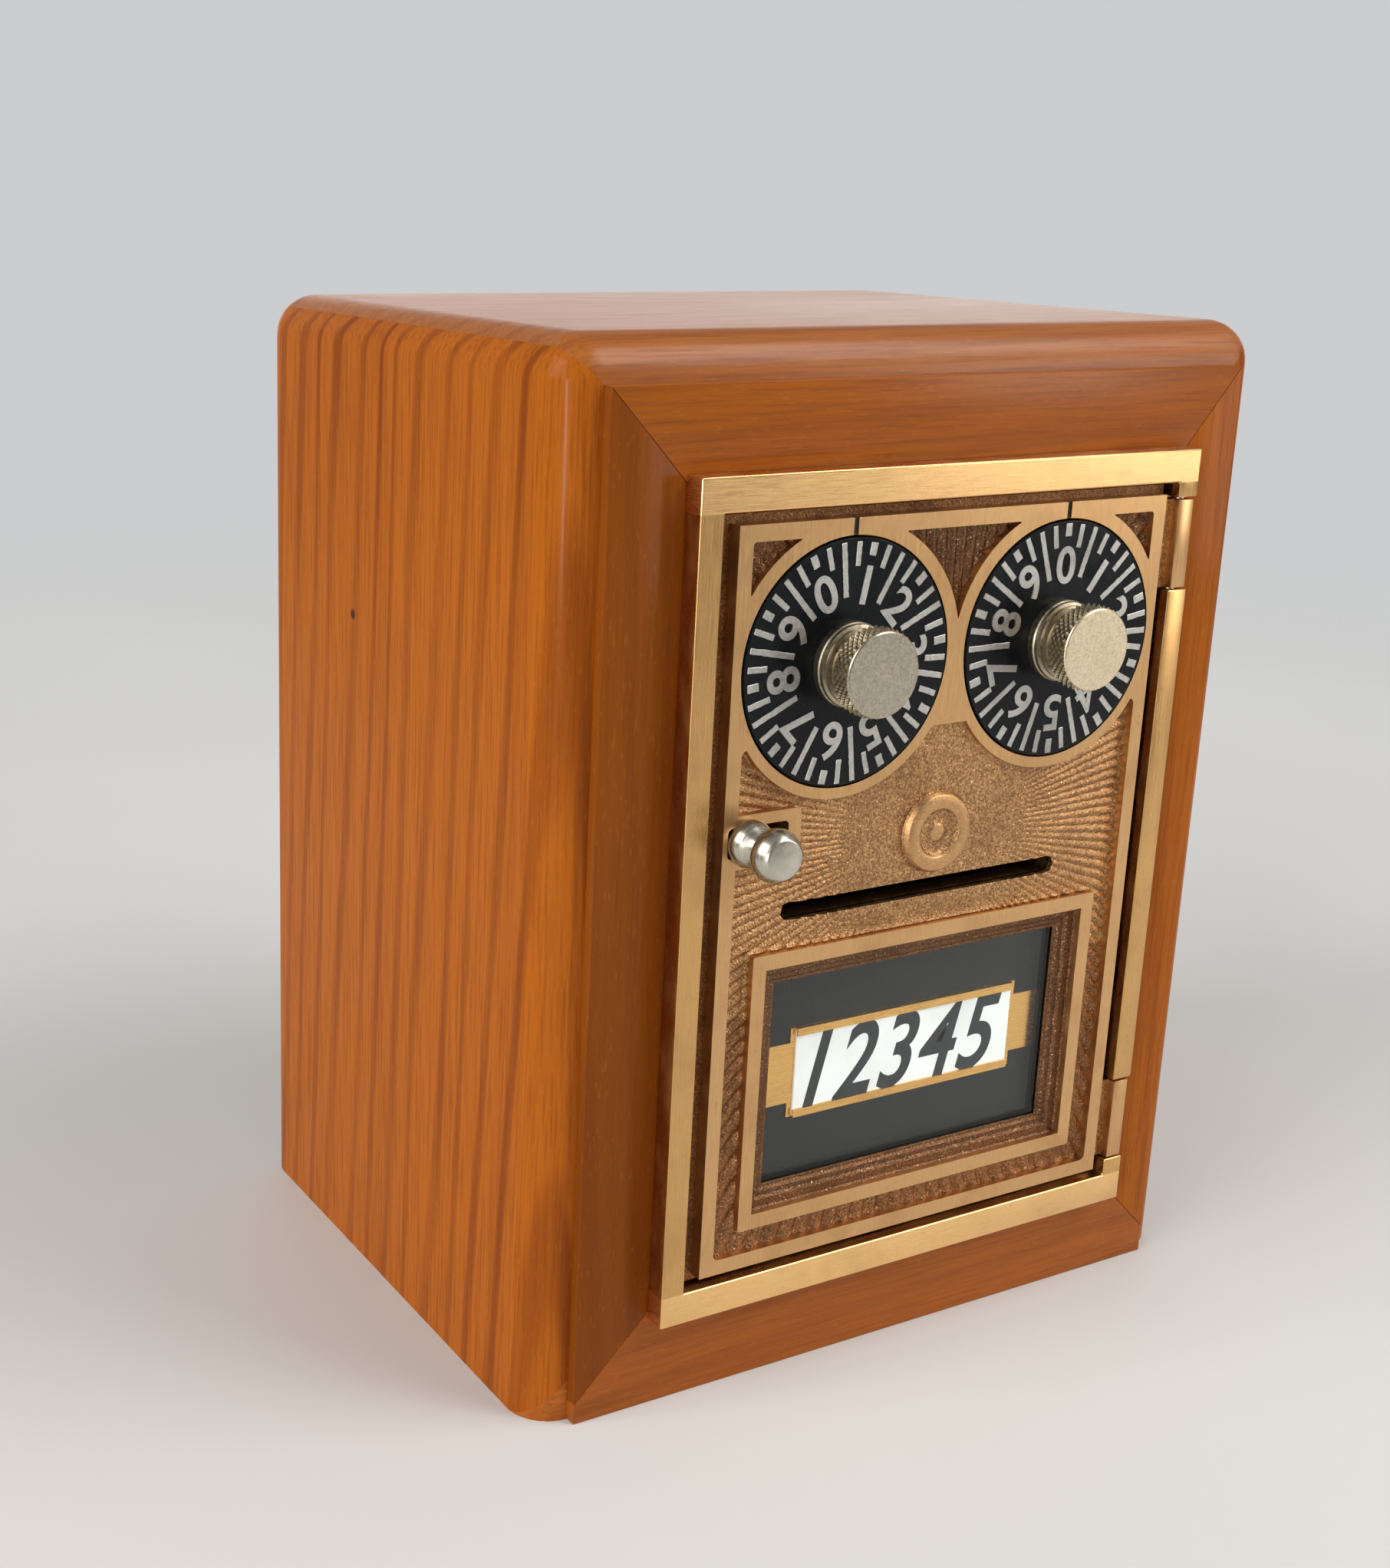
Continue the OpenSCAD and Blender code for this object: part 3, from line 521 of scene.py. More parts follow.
def keepSide(bm, point, normal):
    geom = list(bm.verts) + list(bm.edges) + list(bm.faces)
    bmesh.ops.bisect_plane(bm, geom=geom, dist=1e-5, plane_co=point, plane_no=normal, clear_outer=True)
    bmesh.ops.holes_fill(bm, edges=openEdges(bm), sides=0)


def caseBoard(name, planes, material):
    bm = caseBlock()
    for point, normal in planes:
        keepSide(bm, point, normal)
    made = meshObject("board_" + name, bm)
    cut = bmesh.new()
    half = case["faceWidth"] / 2
    addBlock(cut, (-half, 0, -5), (half, case["faceBack"], case["faceHeight"]))
    reach = case["board"] - case["ledge"]
    addBlock(cut, (-case["width"] / 2 + reach, case["back"] - case["backPanel"], reach),
             (case["width"] / 2 - reach, case["back"] + 5, case["height"] - reach))
    carve(made, [meshObject("cutter", cut)] + (screwSeats() if name.endswith("side") else []))
    chamfer(made, 0.14, 1, 40)
    return place(made, "box", material, [name], onDoor=False, degrees=34)


def buildCase():
    w, h, t = case["width"] / 2, case["height"], case["board"]
    boards = {
        "left_side": ([((-w, 0, h), (1, 0, 1)), ((-w, 0, 0), (1, 0, -1)), ((-w + t, 0, 0), (1, 0, 0))],
                      sideWood),
        "right_side": ([((w, 0, h), (-1, 0, 1)), ((w, 0, 0), (-1, 0, -1)), ((w - t, 0, 0), (-1, 0, 0))],
                       rightWood),
        "top_board": ([((-w, 0, h), (-1, 0, -1)), ((w, 0, h), (1, 0, -1)), ((0, 0, h - t), (0, 0, -1))],
                      topWood),
        "bottom_board": ([((-w, 0, 0), (-1, 0, 1)), ((w, 0, 0), (1, 0, 1)), ((0, 0, t), (0, 0, 1))],
                         bottomWood)}
    for name, (planes, material) in boards.items():
        caseBoard(name, planes, material)
    bm = bmesh.new()
    reach = t - case["ledge"] + 0.1
    addBlock(bm, (-w + reach, case["back"] - case["backPanel"], reach),
             (w - reach, case["back"] - 0.05, h - reach), 0.4)
    made = meshObject("board_back", bm)
    place(carve(made, screwSeats()), "box", backWood, ["back_panel"], onDoor=False)
    for i, x, z, r in screwSpots():
        bm = bmesh.new()
        addRod(bm, x, z, r - 0.08, case["seat"] + 0.1, case["back"] - 0.03, 48, soft=0.15)
        slot = boxCutter((x - r - 1, case["back"] - case["slotDeep"], z - case["slotHalf"]),
                         (x + r + 1, case["back"] + 1, z + case["slotHalf"]))
        spin = Matrix.Rotation(0.5 + i * case["slotTurn"], 4, "Y")
        slot.data.transform(Matrix.Translation((x, 0, z)) @ spin @ Matrix.Translation((-x, 0, -z)))
        head = carve(meshObject(f"back_screwhead_{i + 1}", bm), [slot])
        place(head, "box", plainBrass, [f"back_screw_{i + 1}"], onDoor=False)


buildCase()
print("case boards built")

# Face frame around the door
face = {"front": 3.5, "arris": 0.22}


def facePiece(name, lo, hi, cuts, material):
    bm = bmesh.new()
    addBlock(bm, lo, hi)
    for point, normal in cuts:
        keepSide(bm, point, normal)
    made = chamfer(meshObject("face_" + name, bm), face["arris"], 2, 30)
    return place(made, "box", material, ["face_" + name], onDoor=False)


def buildFace():
    w, h, b = case["faceWidth"] / 2, case["faceHeight"], case["faceBack"]
    f = face["front"]
    lo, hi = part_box("face_left"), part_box("face_right")
    l, r = lo[1].x / mm, hi[0].x / mm            # wood edge around the sleeve
    zLo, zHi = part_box("face_bottom")[1].z / mm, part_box("face_top")[0].z / mm
    footL, footR = lo[0].z / mm, hi[0].z / mm

    def across(p, q, up):      # plane through a miter line, normal pointing up or down
        d = Vector((q[0] - p[0], 0, q[1] - p[1]))
        n = Vector((-d.z, 0, d.x)).normalized()
        return ((p[0], 0, p[1]), n if (n.z > 0) == up else -n)

    topL, topR = ((-w, h), (l, zHi)), ((w, h), (r, zHi))
    lowL, lowR = ((-w, footL), (l, zLo)), ((w, footR), (r, zLo))
    for name, start, end, cuts, material in (
            ("left", (-w, f, footL), (l, b, h), ((topL, True), (lowL, False)), shadedLeftStileWood),
            ("right", (r, f, footR), (w, b, h), ((topR, True), (lowR, False)), rightStileWood),
            ("top", (-w, f, zHi), (w, b, h), ((topL, False), (topR, False)), railWood),
            ("bottom", (-w, f, 0), (w, b, zLo), ((lowL, True), (lowR, True)), railWood)):
        facePiece(name, start, end, [across(*line, up) for line, up in cuts], material)


buildFace()
print("face frame built")

# Cast frame
cast = {"half": 44.45, "low": 13.9, "high": 135.6, "flange": 3.5, "side": 3.8, "end": 4.85, "wall": 2.0,
        "stop": 5.9, "stopWide": 1.4, "stopThick": 1.5, "knuckleLow": 21.8, "knuckleHigh": 114.95,
        "knuckle": 13.25, "gap": 0.3, "axisX": 42.45, "axisY": 1.7, "round": 0.28,
        "strikeY": (5.9, 8.4), "strikeZ": (81.5, 89.9)}
knuckleSpots = (cast["knuckleLow"], cast["knuckleHigh"])


def ringBlock(name, outer, inner, extra):
    return carve(boxPiece(name, *outer), [boxCutter(*box) for box in (inner, *extra)])


def buildFrame():
    c = cast
    ox, lo, hi = c["half"] - c["side"], c["low"] + c["end"], c["high"] - c["end"]
    wall, wide, through = c["wall"], c["stopWide"], 20

    def strike(reach):
        (y0, y1), (z0, z1) = c["strikeY"], c["strikeZ"]
        return [((-ox - 5, y0, z0), (-ox + reach, y1, z1))]

    pockets = [((ox - 1, -1, z - c["gap"]), (c["half"] + 1, c["flange"] + 1, z + c["knuckle"] + c["gap"]))
               for z in knuckleSpots]
    front = ringBlock("frame_flange", ((-c["half"], 0, c["low"]), (c["half"], c["flange"], c["high"])),
                      ((-ox, -1, lo), (ox, c["flange"] + 1, hi)), pockets)
    chamfer(front, c["round"], 3)
    sleeve = ringBlock("frame_sleeve", ((-ox - wall, c["flange"] - 0.2, lo - wall),
                                        (ox + wall, case["faceBack"], hi + wall)),
                       ((-ox, 0, lo), (ox, through, hi)), strike(1))
    ledge = ringBlock("frame_ledge", ((-ox - 0.2, c["stop"], lo - 0.2),
                                      (ox + 0.2, c["stop"] + c["stopThick"], hi + 0.2)),
                      ((-ox + wide, 0, lo + wide), (ox + 1, through, hi - wide)), strike(2))
    for part in (sleeve, ledge):
        place(chamfer(part, 0.15), "box", sideBrass, ())
    with opened(front) as bm:                             # the rails are brushed the other way and get the brighter brass, a painted highlight
        for z in (lo, hi):
            bmesh.ops.bisect_plane(bm, geom=bm.verts[:] + bm.edges[:] + bm.faces[:], dist=1e-4,
                                   plane_co=(0, 0, z), plane_no=(0, 0, 1))
        for poly in bm.faces:
            poly.material_index = 0 if lo < poly.calc_center_median().z < hi else 1
    place(front, "box", [frameBrass, railHighlightBrass], ["door_frame"], degrees=17)


buildFrame()
print("cast frame built")

# Door leaf
leaf = {"half": 40.25, "hinge": 39.75, "low": 19.15, "high": 130.35, "back": 5.6, "groove": 2.2,
        "border": 38.2, "borderLow": 20.4, "borderHigh": 129.1, "rim": 2.3, "dialX": 19.15,
        "dialZ": 109.15, "ring": 19.15, "seat": 17.6, "medalZ": 82.3, "latchX": -34.2, "latchZ": 85.7,
        "latchFrom": -37.4, "latchTo": -27.3, "latchHalf": 2.2, "padTo": -25.2, "padHalf": 3.85,
        "slotX": -1.6, "slotZ": 74.0, "slotLong": 50.6, "slotHigh": 2.6, "winZ": 47.4, "winWide": 63.8,
        "winHigh": 42.2, "band": 2.3, "paneWide": 26.4, "paneHigh": 15.6, "paneLap": 1.6, "paneSeat": 2.58,
        "markHalf": 0.4, "spindle": 2.56}
field = {"depth": 1.9, "top": 10.5, "pocketHigh": 8, "pocketWide": 8.6, "pocketMiddle": 12, "lap": 0.3,
         "level": 1.05, "sink": 0.35, "lip": 0.28, "lipWide": 0.9, "rays": 150, "ripple": 0.03, "under": 2.32,
         "channelTop": 12, "pocketLow": 112, "step": 0.25}
inner = leaf["border"] - leaf["rim"]
fieldLow, fieldTop = leaf["borderLow"] + leaf["rim"], leaf["borderHigh"] - leaf["rim"]
windowW, windowH = leaf["winWide"] / 2, leaf["winHigh"] / 2


def slotCutter(y0, y1):
    x, z, w, h = leaf["slotX"], leaf["slotZ"], leaf["slotLong"] / 2, leaf["slotHigh"] / 2
    return boxCutter((x - w, y0, z - h), (x + w, y1, z + h), h * 0.98, 6)


def latchCutter(y0, y1, spareX=0.0, spareZ=0.0, corner=0.7):
    z, h = leaf["latchZ"], leaf["latchHalf"] + spareZ
    return boxCutter((leaf["latchFrom"] - spareX, y0, z - h), (leaf["latchTo"] + spareX, y1, z + h),
                     corner, 4)


def windowCutter(w, h, y0, y1, corner=0.0):
    return boxCutter((-w, y0, leaf["winZ"] - h), (w, y1, leaf["winZ"] + h), corner)


def dialCutters(r, y0, y1, segments=128):
    return [rodCutter(s * leaf["dialX"], leaf["dialZ"], r, y0, y1, segments) for s in (-1, 1)]


def fieldPrism():
    c = leaf
    prism = boxCutter((-inner, -1, fieldLow), (inner, field["depth"], c["dialZ"] - field["top"]), 0.9)
    cutters = dialCutters(c["ring"], -2, 4) + [windowCutter(windowW, windowH, -2, 4, 0.35)]
    cutters.append(boxCutter((-inner - 2, -2, c["latchZ"] - c["padHalf"]),
                             (c["padTo"], 4, c["latchZ"] + c["padHalf"]), 1.2))
    return carve(prism, cutters)


def pocketPrism(lo, hi):
    prism = boxCutter((lo[0], -1, lo[1]), (hi[0], field["depth"], hi[1]))
    carve(prism, dialCutters(leaf["ring"] + 0.5, -2, 4))
    with opened(prism) as bm:
        bmesh.ops.remove_doubles(bm, verts=bm.verts, dist=0.01)
        roundUprights(bm, 0.55, 5, 0.35, offset_type="ABSOLUTE")
    return prism


def buildRaised():
    c = leaf
    made = boxPiece("leaf_raised", (-c["border"], 0, c["borderLow"]),
                    (c["border"], c["groove"] + 0.1, c["borderHigh"]))
    low, wide, mark = fieldTop - field["pocketHigh"], field["pocketWide"], c["markHalf"]
    cutters = [fieldPrism(), pocketPrism((-inner, low), (-inner + wide, fieldTop)),
               pocketPrism((inner - wide, low), (inner, fieldTop)),
               pocketPrism((-field["pocketMiddle"], c["dialZ"]), (field["pocketMiddle"], fieldTop)),
               windowCutter(windowW - c["band"], windowH - c["band"], -2, 5)]
    cutters += dialCutters(c["seat"], -2, 5)
    cutters += [boxCutter((s * c["dialX"] - mark, -1, c["dialZ"]),
                          (s * c["dialX"] + mark, 0.5, c["borderHigh"] + 1)) for s in (-1, 1)]
    cutters += [latchCutter(-2, 5), slotCutter(-2, 5)]
    carve(made, cutters)
    tidyMesh(made, 0.03)
    chamfer(made, 0.2, 2, 30)
    for vert in made.data.vertices:                       # the ground top stays flat
        if abs(vert.co.y) < 0.035:
            vert.co.y = 0
    place(made, "door", raisedBrass, (), degrees=17)
    bm = bmesh.new()                                      # dark paint in the two index marks
    for s in (-1, 1):
        addBlock(bm, (s * c["dialX"] - mark, 0.25, c["dialZ"] + c["seat"] + 0.1),
                 (s * c["dialX"] + mark, 0.9, c["borderHigh"]), 0.08)
    place(meshObject("index_paint", bm), "door", inkBlack, ())


def ease(lo, hi, value):
    k = max(0.0, min(1.0, (value - lo) / (hi - lo)))
    return k ** 2 * (3 - 2 * k)


# The cast floor: rays around the boss, a lip along every wall, and slow waves
def floorDepth(x, z):
    c = leaf
    dx, dz = x, z - c["medalZ"]
    r = math.hypot(dx, dz)
    depth = field["level"] + field["sink"] * ease(18, 40, r)
    edge = min(abs(math.hypot(x - s * c["dialX"], z - c["dialZ"]) - c["ring"]) for s in (-1, 1))
    edge = min(edge, abs(inner - abs(x)), abs(z - c["borderLow"] - c["rim"]))
    wx, wz = abs(x) - windowW, abs(z - c["winZ"]) - windowH
    edge = min(edge, math.hypot(max(wx, 0), max(wz, 0)) if max(wx, wz) > 0 else 9)
    depth -= field["lip"] * (1 - ease(0, field["lipWide"], edge))
    strength = 0.40 * ease(10, 24, r) + 0.12 * ease(26, 44, r)
    depth -= strength * (abs(math.cos(math.atan2(dz, dx) * field["rays"] / 2)) ** 0.8 - 0.5)
    return depth + field["ripple"] * noise.noise(Vector((x * 0.9, z * 0.9, 3.1)))


def buildFloor(name, lo, hi, cutters):
    c = leaf
    step = field["step"]
    bm = bmesh.new()
    nx, nz = max(2, int((hi[0] - lo[0]) / step)), max(2, int((hi[1] - lo[1]) / step))
    turn = Matrix.Translation(((lo[0] + hi[0]) / 2, 0, (lo[1] + hi[1]) / 2)) @ standUp
    turn = turn @ Matrix.Diagonal(((hi[0] - lo[0]) / 2, (hi[1] - lo[1]) / 2, 1, 1))
    bmesh.ops.create_grid(bm, x_segments=nx, y_segments=nz, size=1, matrix=turn)
    grown = bmesh.ops.extrude_edge_only(bm, edges=openEdges(bm))["geom"]
    low = {v for v in grown if isinstance(v, bmesh.types.BMVert)}
    for v in bm.verts:
        v.co.y = field["under"] if v in low else floorDepth(v.co.x, v.co.z)
    bmesh.ops.contextual_create(bm, geom=openEdges(bm))
    made = meshObject(name, bm, keepDoubles=True)
    if cutters:
        carve(made, cutters)
    for poly in made.data.polygons:
        x, z = abs(poly.center.x), poly.center.z
        channel = x > windowW and z < c["winZ"] + field["channelTop"] or z < c["winZ"] - windowH
        poly.material_index = 2 if z > field["pocketLow"] else 1 if channel else 0
    return place(made, "door", [castBrass, darkCast, pocketCast], (), degrees=50)


def buildFloors():
    c, lap = leaf, field["lap"]
    edge, low, wide = inner + lap, fieldTop - field["pocketHigh"], field["pocketWide"]
    seat = c["seat"] + 0.4
    cutters = [slotCutter(-2, 6), windowCutter(windowW - c["band"] + lap, windowH - c["band"] + lap, -2, 6),
               latchCutter(-2, 6, 0.2, 0.3, 0)] + dialCutters(seat, -2, 6, 96)
    buildFloor("leaf_field", (-edge, fieldLow - lap), (edge, c["dialZ"] - field["top"] + lap), cutters)
    buildFloor("leaf_pocket_left", (-edge, low), (-edge + wide, fieldTop + lap), [])
    buildFloor("leaf_pocket_right", (edge - wide, low), (edge, fieldTop + lap), [])
    buildFloor("leaf_pocket_middle", (-10.8, c["dialZ"] + 3), (10.8, fieldTop + lap),
               dialCutters(seat, -2, 6, 96))


def buildMedal():
    bm = bmesh.new()
    addTurned(bm, [(0.0, 0.55), (0.9, 0.5), (1.3, 0.6), (1.45, 0.72), (2.2, 0.8), (3.0, 0.76), (3.45, 0.5),
                   (3.6, 0.1), (3.8, 0.0), (5.55, 0.0), (5.75, 0.12), (5.95, 0.8), (6.3, 1.15),
                   (6.6, 1.6)], 72)
    bmesh.ops.translate(bm, verts=bm.verts, vec=(0, 0, leaf["medalZ"]))
    made = meshObject("leaf_boss", bm)
    for poly in made.data.polygons:
        far = math.hypot(poly.center.x, poly.center.z - leaf["medalZ"])
        poly.material_index = 1 if 1.3 < far < 3.65 or far > 5.9 else 0
    return place(made, "door", [softCast, castBrass], (), degrees=45)


def buildPlate():
    c = leaf
    made = boxPiece("leaf_plate", (-c["half"], c["groove"], c["low"]), (c["hinge"], c["back"], c["high"]))
    w, h, lap = c["paneWide"], c["paneHigh"], c["paneLap"]
    cutters = [slotCutter(-2, 8), latchCutter(-2, 8), windowCutter(w, h, -2, 9),
               windowCutter(w + lap, h + lap, c["paneSeat"], 9)]
    carve(made, cutters + dialCutters(c["spindle"], -2, 8, 48))
    chamfer(made, 0.15, 2, 40)
    place(made, "door", grooveBrass, ["door_leaf"])
    knuckles, arms = bmesh.new(), bmesh.new()
    x, y, tall = cast["axisX"], cast["axisY"], cast["knuckle"]
    for z in knuckleSpots:
        addBlock(knuckles, (x - 1.45, 0, z), (x + 1.45, 1.9, z + tall), 0.22)
        bmesh.ops.create_cone(knuckles, cap_ends=True, segments=32, radius1=1.5, radius2=1.5,
                              depth=tall - 0.1, matrix=Matrix.Translation((x, y, z + tall / 2)))
        addBlock(arms, (c["border"] - 0.3, 1.4, z + 0.05), (x, 3.1, z + tall - 0.05), 0.15)
    for s in (-1, 1):
        addRod(arms, s * c["dialX"], c["dialZ"], 5.5, c["back"] - 0.1, c["back"] + 1.7, 48, soft=0.2)
    place(meshObject("leaf_knuckles", knuckles), "door", raisedBrass, ())
    place(meshObject("leaf_arms", arms), "door", castBrass, ())


# The stepped reveal around the window: each step is a thickness and a depth
def buildReveal():
    c = leaf
    bm = bmesh.new()
    w, h = windowW - c["band"] + 0.25, windowH - c["band"] + 0.25
    turn = Matrix.Translation((0, 0.9, c["winZ"])) @ standUp @ Matrix.Diagonal((w, h, 1, 1))
    bmesh.ops.create_grid(bm, x_segments=1, y_segments=1, size=1, matrix=turn)
    pane = bm.faces[:]
    for thick, depth in ((0.3, 0.0), (0.25, -0.25), (1.05, -0.15), (0.35, -0.45), (0.65, -0.1), (0.5, -0.5),
                         (0.32, -0.12)):
        bmesh.ops.inset_region(bm, faces=pane, thickness=thick, depth=depth, use_even_offset=True,
                               use_boundary=True)
    bmesh.ops.delete(bm, geom=pane, context="FACES")
    made = meshObject("leaf_reveal", bm)
    with opened(made) as bm:
        outer = [e for e in openEdges(bm) if min(v.co.y for v in e.verts) < 1.0]
        for v in bmesh.ops.extrude_edge_only(bm, edges=outer)["geom"]:
            if isinstance(v, bmesh.types.BMVert):
                v.co.y = 2.45
        bmesh.ops.bridge_loops(bm, edges=openEdges(bm))
        bmesh.ops.recalc_face_normals(bm, faces=bm.faces)
    return place(made, "door", pocketCast, (), degrees=20)


buildRaised()
buildFloors()
buildMedal()
buildPlate()
buildReveal()
print("door leaf built")


# Dials and knobs
dials = {"radius": 17.3, "front": -0.15, "thick": 1.5, "marks": 0.17, "knob": 6.1, "out": 7.8,
         "digits": "1234567890", "ticks": 40, "tickIn": 0.45, "digitSize": 7.4, "digitAt": 10.9,
         "knurls": 34, "knurlRows": 3.5, "knurlFrom": -4.35, "knurlHigh": 0.62, "knurlLow": 0.42}


def dialSpot(sign):
    return Matrix.Translation((sign * leaf["dialX"], 0, leaf["dialZ"]))


def placeOnDial(made, side, sign, material, replaced, degrees=30):
    made.data.transform(dialSpot(sign))
    return place(made, side + "_dial_set", material, replaced, degrees=degrees)


def addTick(bm, i, sign, turn, rnd):
    long = 7.6 if i % 4 == 0 else 1.9 if i % 4 == 2 else 3.4
    wide = 1.15 if i % 4 == 2 else 0.85
    far, edge = dials["radius"], dials["tickIn"]
    part = bmesh.new()
    addBlock(part, (-wide / 2, dials["front"] - dials["marks"], far - edge - long * rnd.uniform(0.95, 1.03)),
             (wide / 2, dials["front"] + 0.05, far - edge * rnd.uniform(0.6, 1.3)), 0.05, 1)
    upright = [e for e in part.edges if span(e, 2) > 1]
    bmesh.ops.subdivide_edges(part, edges=upright, cuts=max(3, int(long * 2.2)))
    for v in part.verts:
        v.co.x += 0.07 * noise.noise(Vector((v.co.x * 2, v.co.z * 2.3, i * 3.7 + sign)))
    bmesh.ops.rotate(part, verts=part.verts, cent=(0, 0, 0),
                     matrix=Matrix.Rotation(math.radians(9 * i + turn), 3, "Y"))
    mesh = bpy.data.meshes.new("tick")
    part.to_mesh(mesh)
    part.free()
    bm.from_mesh(mesh)
    bpy.data.meshes.remove(mesh)


def buildDial(side, sign, turn):
    bm = bmesh.new()
    addRod(bm, 0, 0, dials["radius"], dials["front"], dials["front"] + dials["thick"], 128, soft=0.15)
    placeOnDial(meshObject("dial_" + side, bm), side, sign, dialBlack, [side + "_dial"])
    rnd = random.Random(5 if sign < 0 else 9)
    bm = bmesh.new()
    for i in range(dials["ticks"]):
        addTick(bm, i, sign, turn, rnd)
    placeOnDial(meshObject("marks_" + side, bm), side, sign, markMetal, ())
    for i, digit in enumerate(dials["digits"]):
        mesh, mid = textMesh("digit", digit, size=dials["digitSize"], offset=0.15, extrude=0.1)[:2]
        out = Matrix.Translation((0, dials["front"] - 0.07, dials["digitAt"]))
        around = Matrix.Rotation(math.radians(36 * i + 18 + turn), 4, "Y")
        mesh.transform(dialSpot(sign) @ around @ out @ standUp @ mid)
        piece = linked(f"digit_{side}_{i}", mesh)
        place(tidyMesh(piece, 1e-3), side + "_dial_set", markMetal, ())


def buildKnob(side, sign):
    r, y0, y1 = dials["knob"], dials["knurlFrom"], 0.35 - dials["out"]
    bm = bmesh.new()
    outline = [(0.01, 0.0), (r - 0.2, 0.0), (r - 0.15, 0.1), (r - 0.15, 1.1), (r - 0.3, 1.3),
               (r - 0.35, 1.75), (r - 0.75, 1.9), (r - 0.8, 2.4), (r - 1.35, 2.6), (r - 1.4, 4.3),
               (r - 1.0, 4.5)]
    addTurned(bm, [(rad, dials["front"] - y) for rad, y in outline], 96)
    placeOnDial(meshObject("knobneck_" + side, bm), side, sign, agedNickel, (), 25)

    around, cells = dials["knurls"], dials["knurlRows"]
    per = 8
    bm = bmesh.new()
    bmesh.ops.create_cone(bm, cap_ends=False, segments=around * per, radius1=r, radius2=r, depth=abs(y1 - y0),
                          matrix=Matrix.Translation((0, (y0 + y1) / 2, 0)) @ standUp)
    bmesh.ops.subdivide_edges(bm, edges=[e for e in bm.edges if span(e, 1) > 1], cuts=int(cells * per) - 1)
    for v in bm.verts:                                    # diamonds where two spirals cross
        a = math.atan2(v.co.z, v.co.x) / math.tau * around
        b = (v.co.y - y0) / (y1 - y0) * cells
        u, w = (a + b) % 1, (a - b) % 1
        tip = min(min(u, 1 - u), min(w, 1 - w)) * 2
        fade = min(1.0, min(b, cells - b) * 4)
        k = 1 + (tip * dials["knurlHigh"] * fade - dials["knurlLow"]) / r
        v.co.x *= k
        v.co.z *= k
    rims = openEdges(bm)
    front = [e for e in rims if e.verts[0].co.y < (y0 + y1) / 2]
    back = [e for e in rims if e.verts[0].co.y > (y0 + y1) / 2]
    for loop, start, steps in ((front, y1, ((1.0, -0.1), (0.985, -0.25), (0.955, -0.35), (0.95, -0.352))),
                               (back, y0, ((0.9, 0.1),))):
        last = loop
        for scale, move in steps:
            grown = bmesh.ops.extrude_edge_only(bm, edges=last)["geom"]
            last = [g for g in grown if isinstance(g, bmesh.types.BMEdge)]
            for v in {v for e in last for v in e.verts}:
                rad = math.hypot(v.co.x, v.co.z)
                v.co.x *= (r - 0.1) * scale / rad
                v.co.z *= (r - 0.1) * scale / rad
                v.co.y = start + move
        bmesh.ops.holes_fill(bm, edges=last, sides=0)
    head = meshObject("knobhead_" + side, bm)
    for poly in head.data.polygons:
        poly.material_index = 1 if abs(poly.normal.y) < 0.75 and poly.center.y > y1 - 0.05 else 0
    # the right knob takes the brighter nickel copy, painted light
    placeOnDial(head, side, sign, [nickel if sign < 0 else litRightKnobNickel, knurlNickel], [side + "_knob"],
                22)


for side, sign, turn in (("left", -1, -7.0), ("right", 1, 18.0)):
    buildDial(side, sign, turn)
    buildKnob(side, sign)
print("dials built")


# Latch knob, turned in one piece
def buildLatch():
    bm = bmesh.new()
    outline = [(1.6, -7.8), (1.6, -0.2), (3.1, -0.2), (3.4, 0.3), (3.45, 0.9), (3.25, 1.6), (2.8, 2.3),
               (2.2, 2.9), (1.9, 3.5), (1.95, 4.0), (2.4, 4.5), (3.1, 4.95), (3.6, 5.5), (3.78, 6.2),
               (3.7, 7.0), (3.35, 7.8), (2.9, 8.35), (2.75, 8.5), (2.6, 8.55), (0.01, 8.6)]
    addTurned(bm, [(r, -y - 0.1) for r, y in outline], 64)
    made = meshObject("latch_turned", bm)
    made.data.transform(Matrix.Translation((leaf["latchX"], 0, leaf["latchZ"])))
    return place(made, "latch", aluminium, ["latch_knob"], degrees=32)


buildLatch()


# Pieces that keep their CAD shape get their finish here
finishes = {"window_glass": windowGlass, "glass_spacer": plateBlack, "backing_plate": plateBlack,
            "card_holder": holderBrass, "number_card": cardPaper, "hinge_pin": steel, "lock_case": steel,
            "latch_bolt": steel}
endings = {"_spindle": plainBrass, "_wheel": plainBrass, "_nut": steel}
for name in nodes:
    finish = finishes.get(name) or (plainBrass if "screw" in name else endings.get(name[name.rfind("_"):]))
    if finish:
        nodes[name].data.materials.clear()
        nodes[name].data.materials.append(finish)


# Figures on the card, printed in ink
card = {"size": 17.2, "shear": 0.3, "spread": 1.1, "swell": 0.27, "wide": 37.2, "high": 12.0}


def buildFigures():
    mesh, mid, wide, high = textMesh("figures", "12345", size=card["size"], shear=card["shear"],
                                     space_character=card["spread"], offset=card["swell"], extrude=0.02)
    cardY = (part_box("number_card")[0].y - frontY) / mm
    fit = Matrix.Diagonal((card["wide"] / wide, card["high"] / high, 1, 1))
    mesh.transform(Matrix.Translation((0, cardY - 0.02, leaf["winZ"])) @ standUp @ fit @ mid)
    place(tidyMesh(linked("card_figures", mesh), 1e-3), "door", inkBlack, ())


buildFigures()
print("window and lock dressed")


